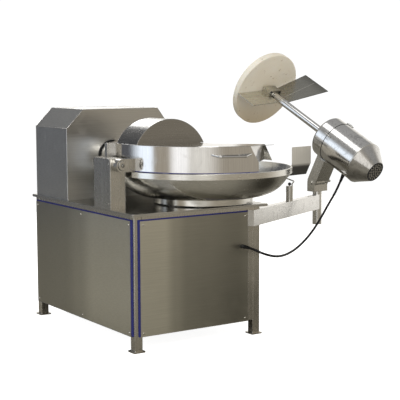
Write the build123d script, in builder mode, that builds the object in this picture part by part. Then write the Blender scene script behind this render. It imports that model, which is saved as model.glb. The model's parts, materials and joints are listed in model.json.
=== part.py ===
"""Meat bowl cutter with a swing-in discharge unit.  Millimetres, +Z up.

The origin is the middle of the underside of the front left foot plate, +X runs right along the
front of the cabinet and +Y runs back to the belt hood.
"""

import os
from math import atan2, copysign, cos, degrees, pi, radians, sin, sqrt, tan

from build123d import *

os.makedirs("parts", exist_ok=True)

# ---- driving dimensions -------------------------------------------------------------------
RUN_FIT = 0.05  # radial clearance of a shaft in its bore
AIR = 0.3  # gap between neighbouring bodies

# cabinet frame
leg_size = 50.0
leg_wall = 3.0
foot_size = 75.0
foot_thick = 8.0
leg_pitch_x = 808.0
leg_pitch_y = 1192.0
table_z = 780.0
table_thick = 4.0
table_lip = 15.0
table_over_left = 20.0
table_over_right = 48.0
table_over_front = 20.0
table_over_back = 15.0
rail_size = 40.0
rail_wall = 3.0
bottom_rail_z = 130.0  # top of the lower rails
stile_width = 50.0  # post beside the front right leg that the narrower front panel closes on

# cover panels
panel_sheet = 2.0
panel_fold = 6.0
panel_low_z = 88.0
panel_drop = 42.0  # table top to the panels' upper edge
panel_corner_inset = 10.0  # panel edge, measured from the leg's centre line
front_panel_right_x = 745.0
left_panel_back_y = 1203.0
seal_thick = 3.0
seal_top = 8.0
seal_side_front = 13.0
seal_side_left = 20.0

# bowl
bowl_y = 238.0
bowl_rim_r = 532.0
bowl_rim_clear = 25.0  # rim to the lid pedestal
rim_band = 35.0
rim_lip = 10.3  # flat lip round the trough's mouth
rim_drop = 47.0  # spindle's axis down to the rim
trough_r = 212.0  # radius of the ring trough's round cross-section
trough_rise = 48.0  # table up to the trough's floor
bowl_wall = 5.0
hub_wall_drop = 75.0  # spindle's axis down to where the trough turns into the centre cone
hub_cap_drop = 50.0
hub_cap_r = 34.0
hub_boss_wall = 15.0
hub_boss_rise = 80.0
turntable_thick = 10.0
foot_ring_r = 297.0
foot_ring_wall = 8.0
foot_ring_gap = 8.0
bowl_shaft_r = 30.0
bowl_bearing_r = 140.0
bowl_bearing_flange = 6.0
bowl_bearing_tube_r = 50.0
bowl_bearing_depth = 88.0  # below the table top
gearbox_size = 170.0
gearbox_height = 120.0
gear_motor_r = 70.0
gear_motor_length = 210.0

# knife spindle, which runs front to back
spindle_r = 22.5
housing_r = 88.5
housing_nose_r = 36.0
housing_nose_front_y = 340.0
housing_relief = 18.0  # the housing stops this far outside the lid
housing_back_y = 960.0
knife_gap = 18.0  # knife tips to the trough
knife_thick = 6.0
knife_pitch = 36.0
knife_count = 3
knife_hub_r = 36.0
knife_set_back = 38.0  # spindle's nose to the first knife
# the blade's outline, as headings and as shares of the knife's reach
edge_from_deg = -70.0
edge_to_deg = 55.0
blade_back = (0.28, 0.3)
blade_throat = (0.22, -0.5)
spindle_front_y = 112.0
pulley_r = 90.0
pulley_width = 66.0
pulley_back_y = 1120.0
belt_width = 52.0
belt_thick = 8.0
belt_room = 24.0  # beside the belt, where it passes through the table
motor_z = 330.0
motor_r = 130.0
motor_length = 400.0
motor_shaft_r = 19.0
motor_plate_thick = 10.0
motor_foot_width = 208.0
motor_foot_length = 280.0

# belt hood and lid pedestal
hood_left_x = -22.0
hood_right_x = 705.0
hood_clear = 7.0  # behind the bowl's rim
hood_back_y = 1207.0
hood_height = 548.0
hood_shoulder = 113.0
hood_left_run = 114.0
hood_right_run = 85.0
sheet = 3.0
pedestal_width = 95.0
pedestal_front_y = 202.0
pedestal_back_y = 393.0
pedestal_over_pin = 31.0
pedestal_cap = 5.0

# lid over the knives
lid_inset = 2.0  # the lid's wall inside the rim's edge
lid_gap = 3.0  # seal to rim
lid_height = 145.0
lid_wall = 3.0
lid_gate = 53.0  # lower edge of the end plates above the wall's: meat passes below
lid_wing = (58.0, 2.0, -8.0)  # outer corner of the wing at the front end plate, from the gate's corner
# corners of the lid's open side, at the gate and at the top: front end, middle, back
lid_front_low = (764.0, -159.0)
lid_front_top = (729.0, -210.0)
lid_mid_low = (555.0, 60.0)
lid_mid_top = (515.0, 10.0)
lid_back_low = (555.0, 355.0)
lid_back_top = (515.0, 345.0)
lid_front_low_deg = 224.0  # heading of the front end plate, at the gate and at the top
lid_front_top_deg = 207.0
lid_back_deg = 115.5  # heading of the back end plate
nose_slot_gap = 9.0
drum_x = 318.0
drum_drop = 5.0  # drum's axis below the spindle's
drum_r = 251.0
drum_front_y = 137.0
drum_back_y = 365.0
lid_seal_height = 4.0
lid_seal_wall = 8.0
hinge_rise = 33.0  # pin above the lid wall's lower edge
hinge_pin_r = 9.0
hinge_pin_proud = 6.0
hinge_front_y = 143.0
hinge_back_block = 27.0
hinge_half_height = 37.0
hinge_boss_r = 27.0
hinge_boss_thick = 8.0
hinge_upright = 34.0  # width of the rear lug's upright beside the lid's wall
handle_rod_r = 5.5
handle_stand_off = 47.0
handle_feet_deg = (-118.5, -93.2)
handle_bar_deg = (-114.5, -99.7)
handle_below_top = 45.0
handle_drop = 9.0

# discharge arm and post
arm_root_x = 800.0
arm_root_y = -20.0
arm_back_length = 58.0
arm_height = 95.0
arm_thick = 50.0
arm_drop = 125.0  # table top to the arm's underside
post_x = 1605.0
post_y = 379.0
sleeve_r = 30.5
sleeve_down = 102.0
sleeve_up = 114.0
post_r = 24.0
stop_tube_at = 474.0  # along the arm from its root
stop_tube_r = 22.0
stop_tube_up = 188.0
stop_tube_wall = 3.0
stop_knob_r = 8.0

# discharge unit: heading and tilt as it is parked
heading_deg = 97.7
tilt_deg = 27.5
pin_rise = 58.5  # tilt pin above the head's base
pin_r = 8.0
pin_head_r = 14.4
pin_left = 71.0
pin_right = 122.0
head_gap = 3.0  # sleeve to head
head_depth = 64.0
head_lug_r = 28.0
fork_width = 124.0
fork_plate = 10.0
fork_depth = 72.0
fork_web = 6.0
fork_web_low = 30.0
axis_height = 312.0  # tilt pin to the motor's axis
unit_motor_r = 136.5
unit_cap_front = 70.0
unit_cap_back = -23.0
unit_cone_start = -284.0
unit_cone_end = -386.0
unit_cone_r = 68.0
unit_sheet = 4.0
cap_edge_r = 18.0
tube_r = 24.0
tube_gap = 7.0
disc_face = 697.0
disc_thick = 45.0
disc_r = 261.0
disc_shaft_r = 14.0
disc_shaft_back = 480.0
disc_edge_r = 6.0

# scraper in front of the disc, in the unit's cross-section
scraper_back = 517.0
scraper_front = 685.0
scraper_sheet = 4.0
scraper_left = (-274.0, -20.0)
scraper_left_root = (-50.0, 0.0)
scraper_right_root = (50.0, 0.0)
scraper_right = (316.0, 115.0)
scraper_right_flare = 70.0  # how far the right blade's outer end runs back past its root
clamp_size = (104.0, 74.0)
clamp_back = 615.0

# guide chute on the arm
chute_x = 1270.0
chute_y = 223.0
chute_turn_deg = 12.0
chute_width = 187.0
chute_up = 243.0  # arm's underside to the chute's lower edge
chute_ramp = 75.0
chute_face = 108.0
chute_back = 38.0
chute_sheet = 3.0
hook_rod_r = 4.0
hook_heading_deg = 33.6
hook_start = 16.0
hook_out = 30.0
hook_rise = 29.0

# cable to the discharge motor
gland_x = 702.0
gland_z = 538.0
gland_r = 12.0
gland_length = 25.0
motor_gland_along = -170.0
cable_r = 7.0
cable_drop = 65.0  # straight run below the motor's gland
bend_share = 0.45  # of the shorter run at a corner that its bend may take
edge_break = 1.0

# ---- values worked out from the driving dimensions ----------------------------------------
half_leg = leg_size / 2
frame_top = table_z - table_thick
left_x = -half_leg - table_over_left
right_x = leg_pitch_x + half_leg + table_over_right
front_y = -half_leg - table_over_front
back_y = leg_pitch_y + half_leg + table_over_back
panel_top_z = table_z - panel_drop
trough_mid_r = bowl_rim_r - rim_lip - sqrt(trough_r**2 - rim_drop**2)
bowl_x = left_x + pedestal_width + bowl_rim_clear + bowl_rim_r
spindle_x = bowl_x - trough_mid_r
spindle_z = table_z + trough_rise + trough_r
trough_z = spindle_z
knife_r = trough_r - knife_gap
bowl_rim_z = spindle_z - rim_drop
hub_wall_z = spindle_z - hub_wall_drop
hub_cap_z = spindle_z - hub_cap_drop
hub_boss_z = table_z + hub_boss_rise
hub_boss_r = bowl_shaft_r + hub_boss_wall
bowl_bearing_low_z = table_z - bowl_bearing_depth
hood_front_y = bowl_y + bowl_rim_r + hood_clear
hood_depth = hood_back_y - hood_front_y
hood_top_z = table_z + hood_height
hood_shoulder_z = hood_top_z - hood_shoulder
lid_r = bowl_rim_r - lid_inset
lid_low_z = bowl_rim_z + lid_gap + lid_seal_height
lid_top_z = lid_low_z + lid_height
lid_gate_z = lid_low_z + lid_gate
drum_z = spindle_z - drum_drop
handle_z = lid_top_z - handle_below_top
hinge_x = left_x + pedestal_width / 2
hinge_z = lid_low_z + hinge_rise
pedestal_top_z = hinge_z + pedestal_over_pin
arm_low_z = table_z - arm_drop
sleeve_low_z = arm_low_z - sleeve_down
sleeve_top_z = arm_low_z + sleeve_up
head_base_z = sleeve_top_z + head_gap
pin_z = head_base_z + pin_rise
stop_tube_top_z = arm_low_z + stop_tube_up
chute_low_z = arm_low_z + chute_up
chute_bend_z = chute_low_z + chute_ramp
chute_top_z = chute_bend_z + chute_face
arm_run = sqrt((post_x - arm_root_x) ** 2 + (post_y - arm_root_y) ** 2)
arm_deg = degrees(atan2(post_y - arm_root_y, post_x - arm_root_x))
arm_top_z = arm_low_z + arm_height
knife_first_y = spindle_front_y + knife_set_back
CORNERS = {
    "front_left": (0.0, 0.0),
    "front_right": (leg_pitch_x, 0.0),
    "back_left": (0.0, leg_pitch_y),
    "back_right": (leg_pitch_x, leg_pitch_y),
}

# planes and directions
BOWL_SECTION = Plane(origin=(bowl_x, bowl_y, 0), x_dir=(1, 0, 0), z_dir=(0, -1, 0))
ARM_RUN = Vector(cos(radians(arm_deg)), sin(radians(arm_deg)), 0)
ARM = Plane(origin=(arm_root_x, arm_root_y, 0), x_dir=ARM_RUN, z_dir=(0, 0, 1))
HEADING = Vector(cos(radians(heading_deg)), sin(radians(heading_deg)), 0)
AXIS = HEADING * cos(radians(tilt_deg)) + Vector(0, 0, 1) * sin(radians(tilt_deg))
RISE = HEADING * -sin(radians(tilt_deg)) + Vector(0, 0, 1) * cos(radians(tilt_deg))
SIDE = AXIS.cross(RISE)
PIN = Vector(post_x, post_y, pin_z)
UNIT_CENTRE = PIN + RISE * axis_height
UNIT_SECTION = Plane(origin=UNIT_CENTRE, x_dir=AXIS, z_dir=SIDE)  # x along the axis, y up
UNIT_AXIS = Axis(UNIT_CENTRE, AXIS)
BOWL_AXIS = Axis((bowl_x, bowl_y, 0), (0, 0, 1))
SPINDLE_AXIS = Axis((spindle_x, 0, spindle_z), (0, 1, 0))


def across(y):
    """The upright plane at a depth y, seen from the front: local x right, local y up."""
    return Plane.XZ.offset(-y)


def unit_plane(along):
    """A cross-section of the unit at a distance along its axis: x right, y up, facing the motor end."""
    return Plane(origin=UNIT_CENTRE + AXIS * along, x_dir=SIDE, z_dir=AXIS * -1)


def finish(built, name):
    """Labels a finished piece and writes it."""
    built.part.label = name
    export_step(built.part, f"parts/{name}.step")


# ---- cabinet frame ------------------------------------------------------------------------
for corner, place in CORNERS.items():
    with BuildPart() as leg:
        with BuildSketch(Plane.XY):
            with Locations(place):
                RectangleRounded(foot_size, foot_size, foot_thick)
        extrude(amount=foot_thick)
        with BuildSketch(Plane.XY.offset(foot_thick)):
            with Locations(place):
                RectangleRounded(leg_size, leg_size, leg_wall * 1.5)
                Rectangle(leg_size - 2 * leg_wall, leg_size - 2 * leg_wall, mode=Mode.SUBTRACT)
        extrude(amount=frame_top - foot_thick)
        split(bisect_by=Plane.XY.offset(frame_top), keep=Keep.BOTTOM)
    finish(leg, f"leg_{corner}")

RAILS = {
    "front": (leg_pitch_x / 2, (rail_size - leg_size) / 2, 0),
    "back": (leg_pitch_x / 2, leg_pitch_y - (rail_size - leg_size) / 2, 0),
    "left": ((rail_size - leg_size) / 2, leg_pitch_y / 2, 1),
    "right": (leg_pitch_x - (rail_size - leg_size) / 2, leg_pitch_y / 2, 1),
}
for tier, rail_top in (("top", frame_top), ("low", bottom_rail_z)):
    for side, (middle_x, middle_y, runs_back) in RAILS.items():
        run = (leg_pitch_y if runs_back else leg_pitch_x) - leg_size
        section = Plane.XZ if runs_back else Plane.YZ
        section.origin = (middle_x, middle_y, rail_top - rail_size / 2)
        with BuildPart() as rail:
            with BuildSketch(section):
                Rectangle(rail_size, rail_size)
                Rectangle(rail_size - 2 * rail_wall, rail_size - 2 * rail_wall, mode=Mode.SUBTRACT)
            extrude(amount=run / 2, both=True)
        finish(rail, f"{tier}_rail_{side}")

with BuildPart() as front_stile:
    with BuildSketch(Plane.XY.offset(bottom_rail_z)):
        with Locations((leg_pitch_x - half_leg - stile_width / 2, 0)):
            Rectangle(stile_width, leg_size)
            Rectangle(stile_width - 2 * rail_wall, leg_size - 2 * rail_wall, mode=Mode.SUBTRACT)
    extrude(amount=frame_top - rail_size - bottom_rail_z)
finish(front_stile, "front_stile")

with BuildPart() as table_top:
    table_width = right_x - left_x
    table_depth = back_y - front_y
    with BuildSketch(Plane.XY.offset(table_z - table_lip)):
        with Locations(((left_x + right_x) / 2, (front_y + back_y) / 2)):
            RectangleRounded(table_width, table_depth, table_thick * 2)
    extrude(amount=table_lip)
    with BuildSketch(Plane.XY.offset(table_z - table_lip)):
        with Locations(((left_x + right_x) / 2, (front_y + back_y) / 2)):
            Rectangle(table_width - 2 * table_thick, table_depth - 2 * table_thick)
    extrude(amount=table_lip - table_thick, mode=Mode.SUBTRACT)
    with BuildSketch(Plane.XY.offset(frame_top)):
        with Locations((bowl_x, bowl_y)):
            Circle(bowl_bearing_tube_r)
        with Locations((spindle_x, pulley_back_y - pulley_width / 2)):
            SlotOverall(2 * (pulley_r + belt_room), pulley_width + belt_thick)
    extrude(amount=table_thick, mode=Mode.SUBTRACT)
    chamfer(table_top.faces().sort_by(Axis.Z)[-1].outer_wire().edges(), edge_break)
finish(table_top, "table_top")


# ---- cover panels and their seals ---------------------------------------------------------
panel_height = panel_top_z - panel_low_z


def panel(name, plane, outward, start, end):
    """A folded sheet cover on a face of the frame; the plane's local x runs along that face."""
    with BuildPart() as cover:
        with BuildSketch(plane):
            with Locations(((start + end) / 2, (panel_low_z + panel_top_z) / 2)):
                Rectangle(end - start, panel_height)
        extrude(amount=outward * panel_fold)
        with BuildSketch(plane):
            with Locations(((start + end) / 2, (panel_low_z + panel_top_z) / 2)):
                Rectangle(end - start - 2 * panel_sheet, panel_height - 2 * panel_sheet)
        extrude(amount=outward * (panel_fold - panel_sheet), mode=Mode.SUBTRACT)
    finish(cover, name)


FRONT_FACE = Plane(origin=(0, -half_leg, 0), x_dir=(1, 0, 0), z_dir=(0, -1, 0))
LEFT_FACE = Plane(origin=(-half_leg, 0, 0), x_dir=(0, 1, 0), z_dir=(1, 0, 0))
RIGHT_FACE = Plane(origin=(leg_pitch_x + half_leg, 0, 0), x_dir=(0, 1, 0), z_dir=(1, 0, 0))
BACK_FACE = Plane(origin=(0, leg_pitch_y + half_leg, 0), x_dir=(-1, 0, 0), z_dir=(0, 1, 0))
panel("panel_front", FRONT_FACE, 1, panel_corner_inset, front_panel_right_x)
panel("panel_left", LEFT_FACE, -1, panel_corner_inset, left_panel_back_y)
panel("panel_right", RIGHT_FACE, 1, arm_thick, leg_pitch_y - panel_corner_inset)
panel("panel_back", BACK_FACE, 1, panel_corner_inset - leg_pitch_x, -panel_corner_inset)


def seal(name, plane, outward, side, start, end):
    """Rubber that shows above a panel's top edge and beside its edge at the front left leg."""
    with BuildPart() as strip:
        with BuildSketch(plane):
            with BuildLine():
                Polyline(
                    (end, panel_top_z),
                    (end, panel_top_z + seal_top),
                    (start - side, panel_top_z + seal_top),
                    (start - side, panel_low_z + side / 2),
                )
                ThreePointArc(
                    (start - side, panel_low_z + side / 2),
                    (start - side / 2, panel_low_z),
                    (start, panel_low_z + side / 2),
                )
                Polyline((start, panel_low_z + side / 2), (start, panel_top_z), (end, panel_top_z))
            make_face()
        extrude(amount=outward * seal_thick)
    finish(strip, name)


seal("seal_front", FRONT_FACE, 1, seal_side_front, panel_corner_inset, front_panel_right_x)
seal("seal_left", LEFT_FACE, -1, seal_side_left, panel_corner_inset, left_panel_back_y)

# ---- belt hood ----------------------------------------------------------------------------
with BuildPart() as belt_hood:
    with BuildSketch(across(hood_front_y)):
        with BuildLine():
            Polyline(
                (hood_left_x, table_z),
                (hood_left_x, hood_shoulder_z),
                (hood_left_x + hood_left_run, hood_top_z),
                (hood_right_x - hood_right_run, hood_top_z),
                (hood_right_x, hood_shoulder_z),
                (hood_right_x, table_z),
                close=True,
            )
        make_face()
    extrude(amount=-hood_depth)
    offset(amount=-sheet, openings=belt_hood.faces().sort_by(Axis.Z)[0])
    with BuildSketch(across(hood_front_y)):
        with Locations((spindle_x, spindle_z)):
            Circle(housing_r)
    extrude(amount=-2 * sheet, mode=Mode.SUBTRACT)
finish(belt_hood, "belt_hood")

# ---- knife spindle, its housing and its drive ---------------------------------------------
with BuildPart() as spindle_housing:
    with BuildSketch(across(housing_back_y)):
        with Locations((spindle_x, spindle_z)):
            Circle(housing_r)
    extrude(amount=housing_back_y - bowl_y)
    with BuildSketch(across(hood_front_y + 2 * sheet)):
        with Locations((spindle_x, (table_z + spindle_z) / 2)):
            Rectangle(2 * housing_r, spindle_z - table_z)
    extrude(amount=-(housing_back_y - hood_front_y - 2 * sheet))
    with BuildSketch(Plane.XY.offset(table_z)):
        with Locations((bowl_x, bowl_y)):
            Circle(lid_r + housing_relief)
    extrude(amount=hood_top_z - table_z, mode=Mode.SUBTRACT)
    with BuildSketch(across(housing_nose_front_y)):
        with Locations((spindle_x, spindle_z)):
            Circle(housing_nose_r)
    extrude(amount=-(housing_back_y - housing_nose_front_y))
    with BuildSketch(across(housing_nose_front_y)):
        with Locations((spindle_x, spindle_z)):
            Circle(spindle_r + RUN_FIT)
    extrude(amount=-(housing_back_y - housing_nose_front_y), mode=Mode.SUBTRACT)
finish(spindle_housing, "spindle_housing")

with BuildPart() as housing_seal:
    with BuildSketch(across(hood_front_y)):
        with Locations((spindle_x, spindle_z)):
            Circle(housing_r + 3 * sheet)
            Circle(housing_r, mode=Mode.SUBTRACT)
    extrude(amount=3 * sheet)
    fillet(housing_seal.edges().group_by(Axis.Y)[0].sort_by(SortBy.LENGTH)[-1], sheet)
finish(housing_seal, "housing_seal")

knife_end_y = knife_first_y + knife_count * knife_pitch
with BuildPart() as knife_spindle:
    with BuildSketch(Plane.YZ.offset(spindle_x)):
        with BuildLine():
            Polyline(
                (spindle_front_y, spindle_z),
                (spindle_front_y, spindle_z + knife_hub_r - spindle_r / 2),
                (knife_first_y, spindle_z + knife_hub_r),
                (knife_first_y, spindle_z + spindle_r),
                (knife_end_y, spindle_z + spindle_r),
                (knife_end_y, spindle_z + knife_hub_r),
                (housing_nose_front_y - AIR, spindle_z + knife_hub_r),
                (housing_nose_front_y - AIR, spindle_z + spindle_r),
                (pulley_back_y, spindle_z + spindle_r),
                (pulley_back_y, spindle_z),
                close=True,
            )
        make_face()
    revolve(axis=SPINDLE_AXIS)
finish(knife_spindle, "knife_spindle")

for knife_index in range(knife_count):
    blade_plane = across(knife_first_y + knife_index * knife_pitch)
    with BuildPart() as knife:
        with BuildSketch(blade_plane):
            with Locations((spindle_x, spindle_z)):
                Circle(knife_hub_r)
        extrude(amount=-knife_pitch)
        turn = 360 / knife_count * knife_index
        with BuildSketch(blade_plane):
            with BuildLine(Location((spindle_x, spindle_z, 0), turn)):
                edge = ThreePointArc(
                    (knife_r * cos(radians(edge_from_deg)), knife_r * sin(radians(edge_from_deg))),
                    (knife_r, 0),
                    (knife_r * cos(radians(edge_to_deg)), knife_r * sin(radians(edge_to_deg))),
                )
                back = ThreePointArc(
                    edge @ 1, (knife_r * blade_back[0], knife_r * blade_back[1]), (-knife_hub_r, 0)
                )
                Line(back @ 1, (0, -knife_hub_r))
                ThreePointArc(
                    (0, -knife_hub_r),
                    (knife_r * blade_throat[0], knife_r * blade_throat[1]),
                    edge @ 0,
                )
            make_face()
        extrude(amount=-knife_thick)
        with BuildSketch(blade_plane):
            with Locations((spindle_x, spindle_z)):
                Circle(spindle_r)
        extrude(amount=-knife_pitch, mode=Mode.SUBTRACT)
    finish(knife, f"knife_{knife_index + 1}")


def pulley(name, height, shaft_from=None):
    """A belt pulley on the line of the spindle, at a height; with its own shaft when it has one."""
    with BuildPart() as wheel:
        with BuildSketch(across(pulley_back_y)):
            with Locations((spindle_x, height)):
                Circle(pulley_r)
                if shaft_from is None:
                    Circle(spindle_r, mode=Mode.SUBTRACT)
        extrude(amount=pulley_width)
        if shaft_from is not None:
            with BuildSketch(across(pulley_back_y)):
                with Locations((spindle_x, height)):
                    Circle(motor_shaft_r)
            extrude(amount=pulley_back_y - shaft_from)
    finish(wheel, name)


motor_front_y = hood_front_y - motor_length / 2
motor_back_y = motor_front_y + motor_length
shaft_depth = 3 * motor_shaft_r
pulley("spindle_pulley", spindle_z)
pulley("motor_pulley", motor_z, motor_back_y - shaft_depth)

belt_r = pulley_r + AIR
with BuildPart() as drive_belt:
    with BuildSketch(across(pulley_back_y - (pulley_width - belt_width) / 2)):
        with Locations((spindle_x, (spindle_z + motor_z) / 2)):
            SlotCenterToCenter(spindle_z - motor_z, 2 * (belt_r + belt_thick), rotation=90)
            SlotCenterToCenter(spindle_z - motor_z, 2 * belt_r, rotation=90, mode=Mode.SUBTRACT)
    extrude(amount=belt_width)
finish(drive_belt, "drive_belt")

motor_plate_y = (motor_front_y + motor_back_y) / 2
with BuildPart() as motor_plate:
    with BuildSketch(Plane.XY.offset(bottom_rail_z)):
        with Locations((leg_pitch_x / 2, motor_plate_y)):
            Rectangle(leg_pitch_x + leg_size - 2 * panel_sheet, motor_length)
    extrude(amount=motor_plate_thick)
finish(motor_plate, "motor_plate")

with BuildPart() as main_motor:
    with BuildSketch(across(motor_back_y)):
        with Locations((spindle_x, motor_z)):
            Circle(motor_r)
    extrude(amount=motor_length)
    fillet(main_motor.edges().group_by(Axis.Y)[0], motor_r / 5)
    with BuildSketch(Plane.XY.offset(bottom_rail_z + motor_plate_thick)):
        with Locations((spindle_x, motor_plate_y)):
            Rectangle(motor_foot_width, motor_foot_length)
    extrude(amount=motor_z - motor_r / 2 - bottom_rail_z - motor_plate_thick)
    with BuildSketch(across(motor_back_y)):
        with Locations((spindle_x, motor_z)):
            Circle(motor_shaft_r + RUN_FIT)
    extrude(amount=shaft_depth + RUN_FIT, mode=Mode.SUBTRACT)
finish(main_motor, "main_motor")

# ---- bowl and its drive -------------------------------------------------------------------
outer_r = trough_r + bowl_wall


def trough_at(height, radius):
    """Distance of the trough's round section from its middle circle at a height."""
    return sqrt(radius**2 - (trough_z - height) ** 2)


rim_inner = trough_mid_r + trough_at(bowl_rim_z, trough_r)
rim_step = trough_mid_r + trough_at(bowl_rim_z - rim_band, outer_r)
hub_inner = trough_mid_r - trough_at(hub_wall_z, trough_r)
hub_outer = trough_mid_r - trough_at(hub_wall_z - bowl_wall, outer_r)
with BuildPart() as bowl:
    with BuildSketch(BOWL_SECTION):
        with BuildLine():
            ThreePointArc(
                (rim_inner, bowl_rim_z),
                (trough_mid_r, trough_z - trough_r),
                (hub_inner, hub_wall_z),
            )
            Polyline(
                (hub_inner, hub_wall_z),
                (hub_cap_r, hub_cap_z),
                (0, hub_cap_z),
                (0, hub_boss_z),
                (hub_boss_r, hub_boss_z),
                (hub_boss_r, hub_cap_z - 3 * bowl_wall),
                (hub_outer, hub_wall_z - bowl_wall),
            )
            ThreePointArc(
                (hub_outer, hub_wall_z - bowl_wall),
                (trough_mid_r, trough_z - outer_r),
                (rim_step, bowl_rim_z - rim_band),
            )
            Polyline(
                (rim_step, bowl_rim_z - rim_band),
                (bowl_rim_r, bowl_rim_z - rim_band),
                (bowl_rim_r, bowl_rim_z),
                (rim_inner, bowl_rim_z),
            )
        make_face()
    revolve(axis=BOWL_AXIS)
    outer_rim = bowl.edges().filter_by(GeomType.CIRCLE).sort_by(SortBy.RADIUS)[-2:]
    fillet(outer_rim, bowl_wall / 2)
finish(bowl, "bowl")

with BuildPart() as bowl_foot_ring:
    ring_low = table_z + foot_ring_gap
    with BuildSketch(BOWL_SECTION):
        with Locations((foot_ring_r - foot_ring_wall / 2, (ring_low + trough_z) / 2)):
            Rectangle(foot_ring_wall, trough_z - ring_low)
        with Locations(((bowl_shaft_r + foot_ring_r) / 2, ring_low + turntable_thick / 2)):
            Rectangle(foot_ring_r - bowl_shaft_r, turntable_thick)
        with Locations((trough_mid_r, trough_z)):
            Circle(outer_r, mode=Mode.SUBTRACT)
    revolve(axis=BOWL_AXIS)
finish(bowl_foot_ring, "bowl_foot_ring")

gearbox_top = bowl_bearing_low_z
shaft_low_z = gearbox_top - gearbox_height / 2
with BuildPart() as bowl_shaft:
    with BuildSketch(Plane.XY.offset(shaft_low_z)):
        with Locations((bowl_x, bowl_y)):
            Circle(bowl_shaft_r)
    extrude(amount=hub_boss_z - shaft_low_z)
finish(bowl_shaft, "bowl_shaft")

with BuildPart() as bowl_bearing:
    with BuildSketch(BOWL_SECTION):
        with BuildLine():
            Polyline(
                (bowl_shaft_r + RUN_FIT, bowl_bearing_low_z),
                (bowl_shaft_r + RUN_FIT, table_z + bowl_bearing_flange),
                (bowl_bearing_r, table_z + bowl_bearing_flange),
                (bowl_bearing_r, table_z),
                (bowl_bearing_tube_r, table_z),
                (bowl_bearing_tube_r, bowl_bearing_low_z),
                close=True,
            )
        make_face()
    revolve(axis=BOWL_AXIS)
finish(bowl_bearing, "bowl_bearing")

with BuildPart() as bowl_gearbox:
    with BuildSketch(Plane.XY.offset(gearbox_top)):
        with Locations((bowl_x, bowl_y)):
            RectangleRounded(gearbox_size, gearbox_size, bowl_shaft_r / 2)
    extrude(amount=-gearbox_height)
    with BuildSketch(Plane.XY.offset(gearbox_top)):
        with Locations((bowl_x, bowl_y)):
            Circle(bowl_shaft_r + RUN_FIT)
    extrude(amount=shaft_low_z - gearbox_top - RUN_FIT, mode=Mode.SUBTRACT)
finish(bowl_gearbox, "bowl_gearbox")

with BuildPart() as bowl_gear_motor:
    with BuildSketch(across(bowl_y + gearbox_size / 2)):
        with Locations((bowl_x, gearbox_top - gearbox_height / 2)):
            Circle(gear_motor_r)
    extrude(amount=-gear_motor_length)
    fillet(bowl_gear_motor.edges().group_by(Axis.Y)[-1], gear_motor_r / 5)
finish(bowl_gear_motor, "bowl_gear_motor")


# ---- lid ----------------------------------------------------------------------------------
def lid_outline(front, front_deg, middle_front, middle_back, back, inset):
    """Plan of the lid's covered side: the open side's corners, run on past the round wall."""
    run = lid_r
    front_run = (front[0] + run * cos(radians(front_deg)), front[1] + run * sin(radians(front_deg)))
    back_run = (back[0] + run * cos(radians(lid_back_deg)), back[1] + run * sin(radians(lid_back_deg)))
    far_left = bowl_x - 2 * run
    with BuildSketch(Plane.XY) as outline:
        with BuildLine():
            Polyline(
                front,
                middle_front,
                middle_back,
                back_run,
                (far_left, back_run[1]),
                (far_left, front_run[1]),
                front_run,
                close=True,
            )
        make_face()
        if inset:
            offset(amount=-inset, kind=Kind.INTERSECTION, mode=Mode.REPLACE)
    return outline.sketch


def lid_form(inset):
    """The lid above its gate as a solid block, moved inwards by an inset."""
    low = lid_outline(lid_front_low, lid_front_low_deg, lid_mid_low, lid_back_low, lid_back_low, inset)
    top = lid_outline(lid_front_top, lid_front_top_deg, lid_mid_top, lid_back_top, lid_back_top, inset)
    with BuildPart() as form:
        with BuildSketch(Plane.XY.offset(lid_gate_z)):
            add(low)
        with BuildSketch(Plane.XY.offset(lid_top_z - inset)):
            add(top)
        loft(ruled=True)
        with BuildSketch(Plane.XY.offset(lid_gate_z)):
            with Locations((bowl_x, bowl_y)):
                Circle(lid_r - inset)
        extrude(amount=lid_top_z - lid_gate_z, mode=Mode.INTERSECT)
    return form.part


lid_block = lid_form(0)
lid_hollow = lid_form(lid_wall)
gate_outline = lid_outline(lid_front_low, lid_front_low_deg, lid_mid_low, lid_back_low, lid_back_low, 0)
slot_half = housing_nose_r + nose_slot_gap
with BuildPart() as nose_slot:
    with BuildSketch(across(bowl_y)):
        with Locations((spindle_x, spindle_z)):
            Circle(slot_half)
        with Locations((spindle_x, spindle_z - slot_half)):
            Rectangle(2 * slot_half, 2 * slot_half)
    extrude(amount=-lid_r)

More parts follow.
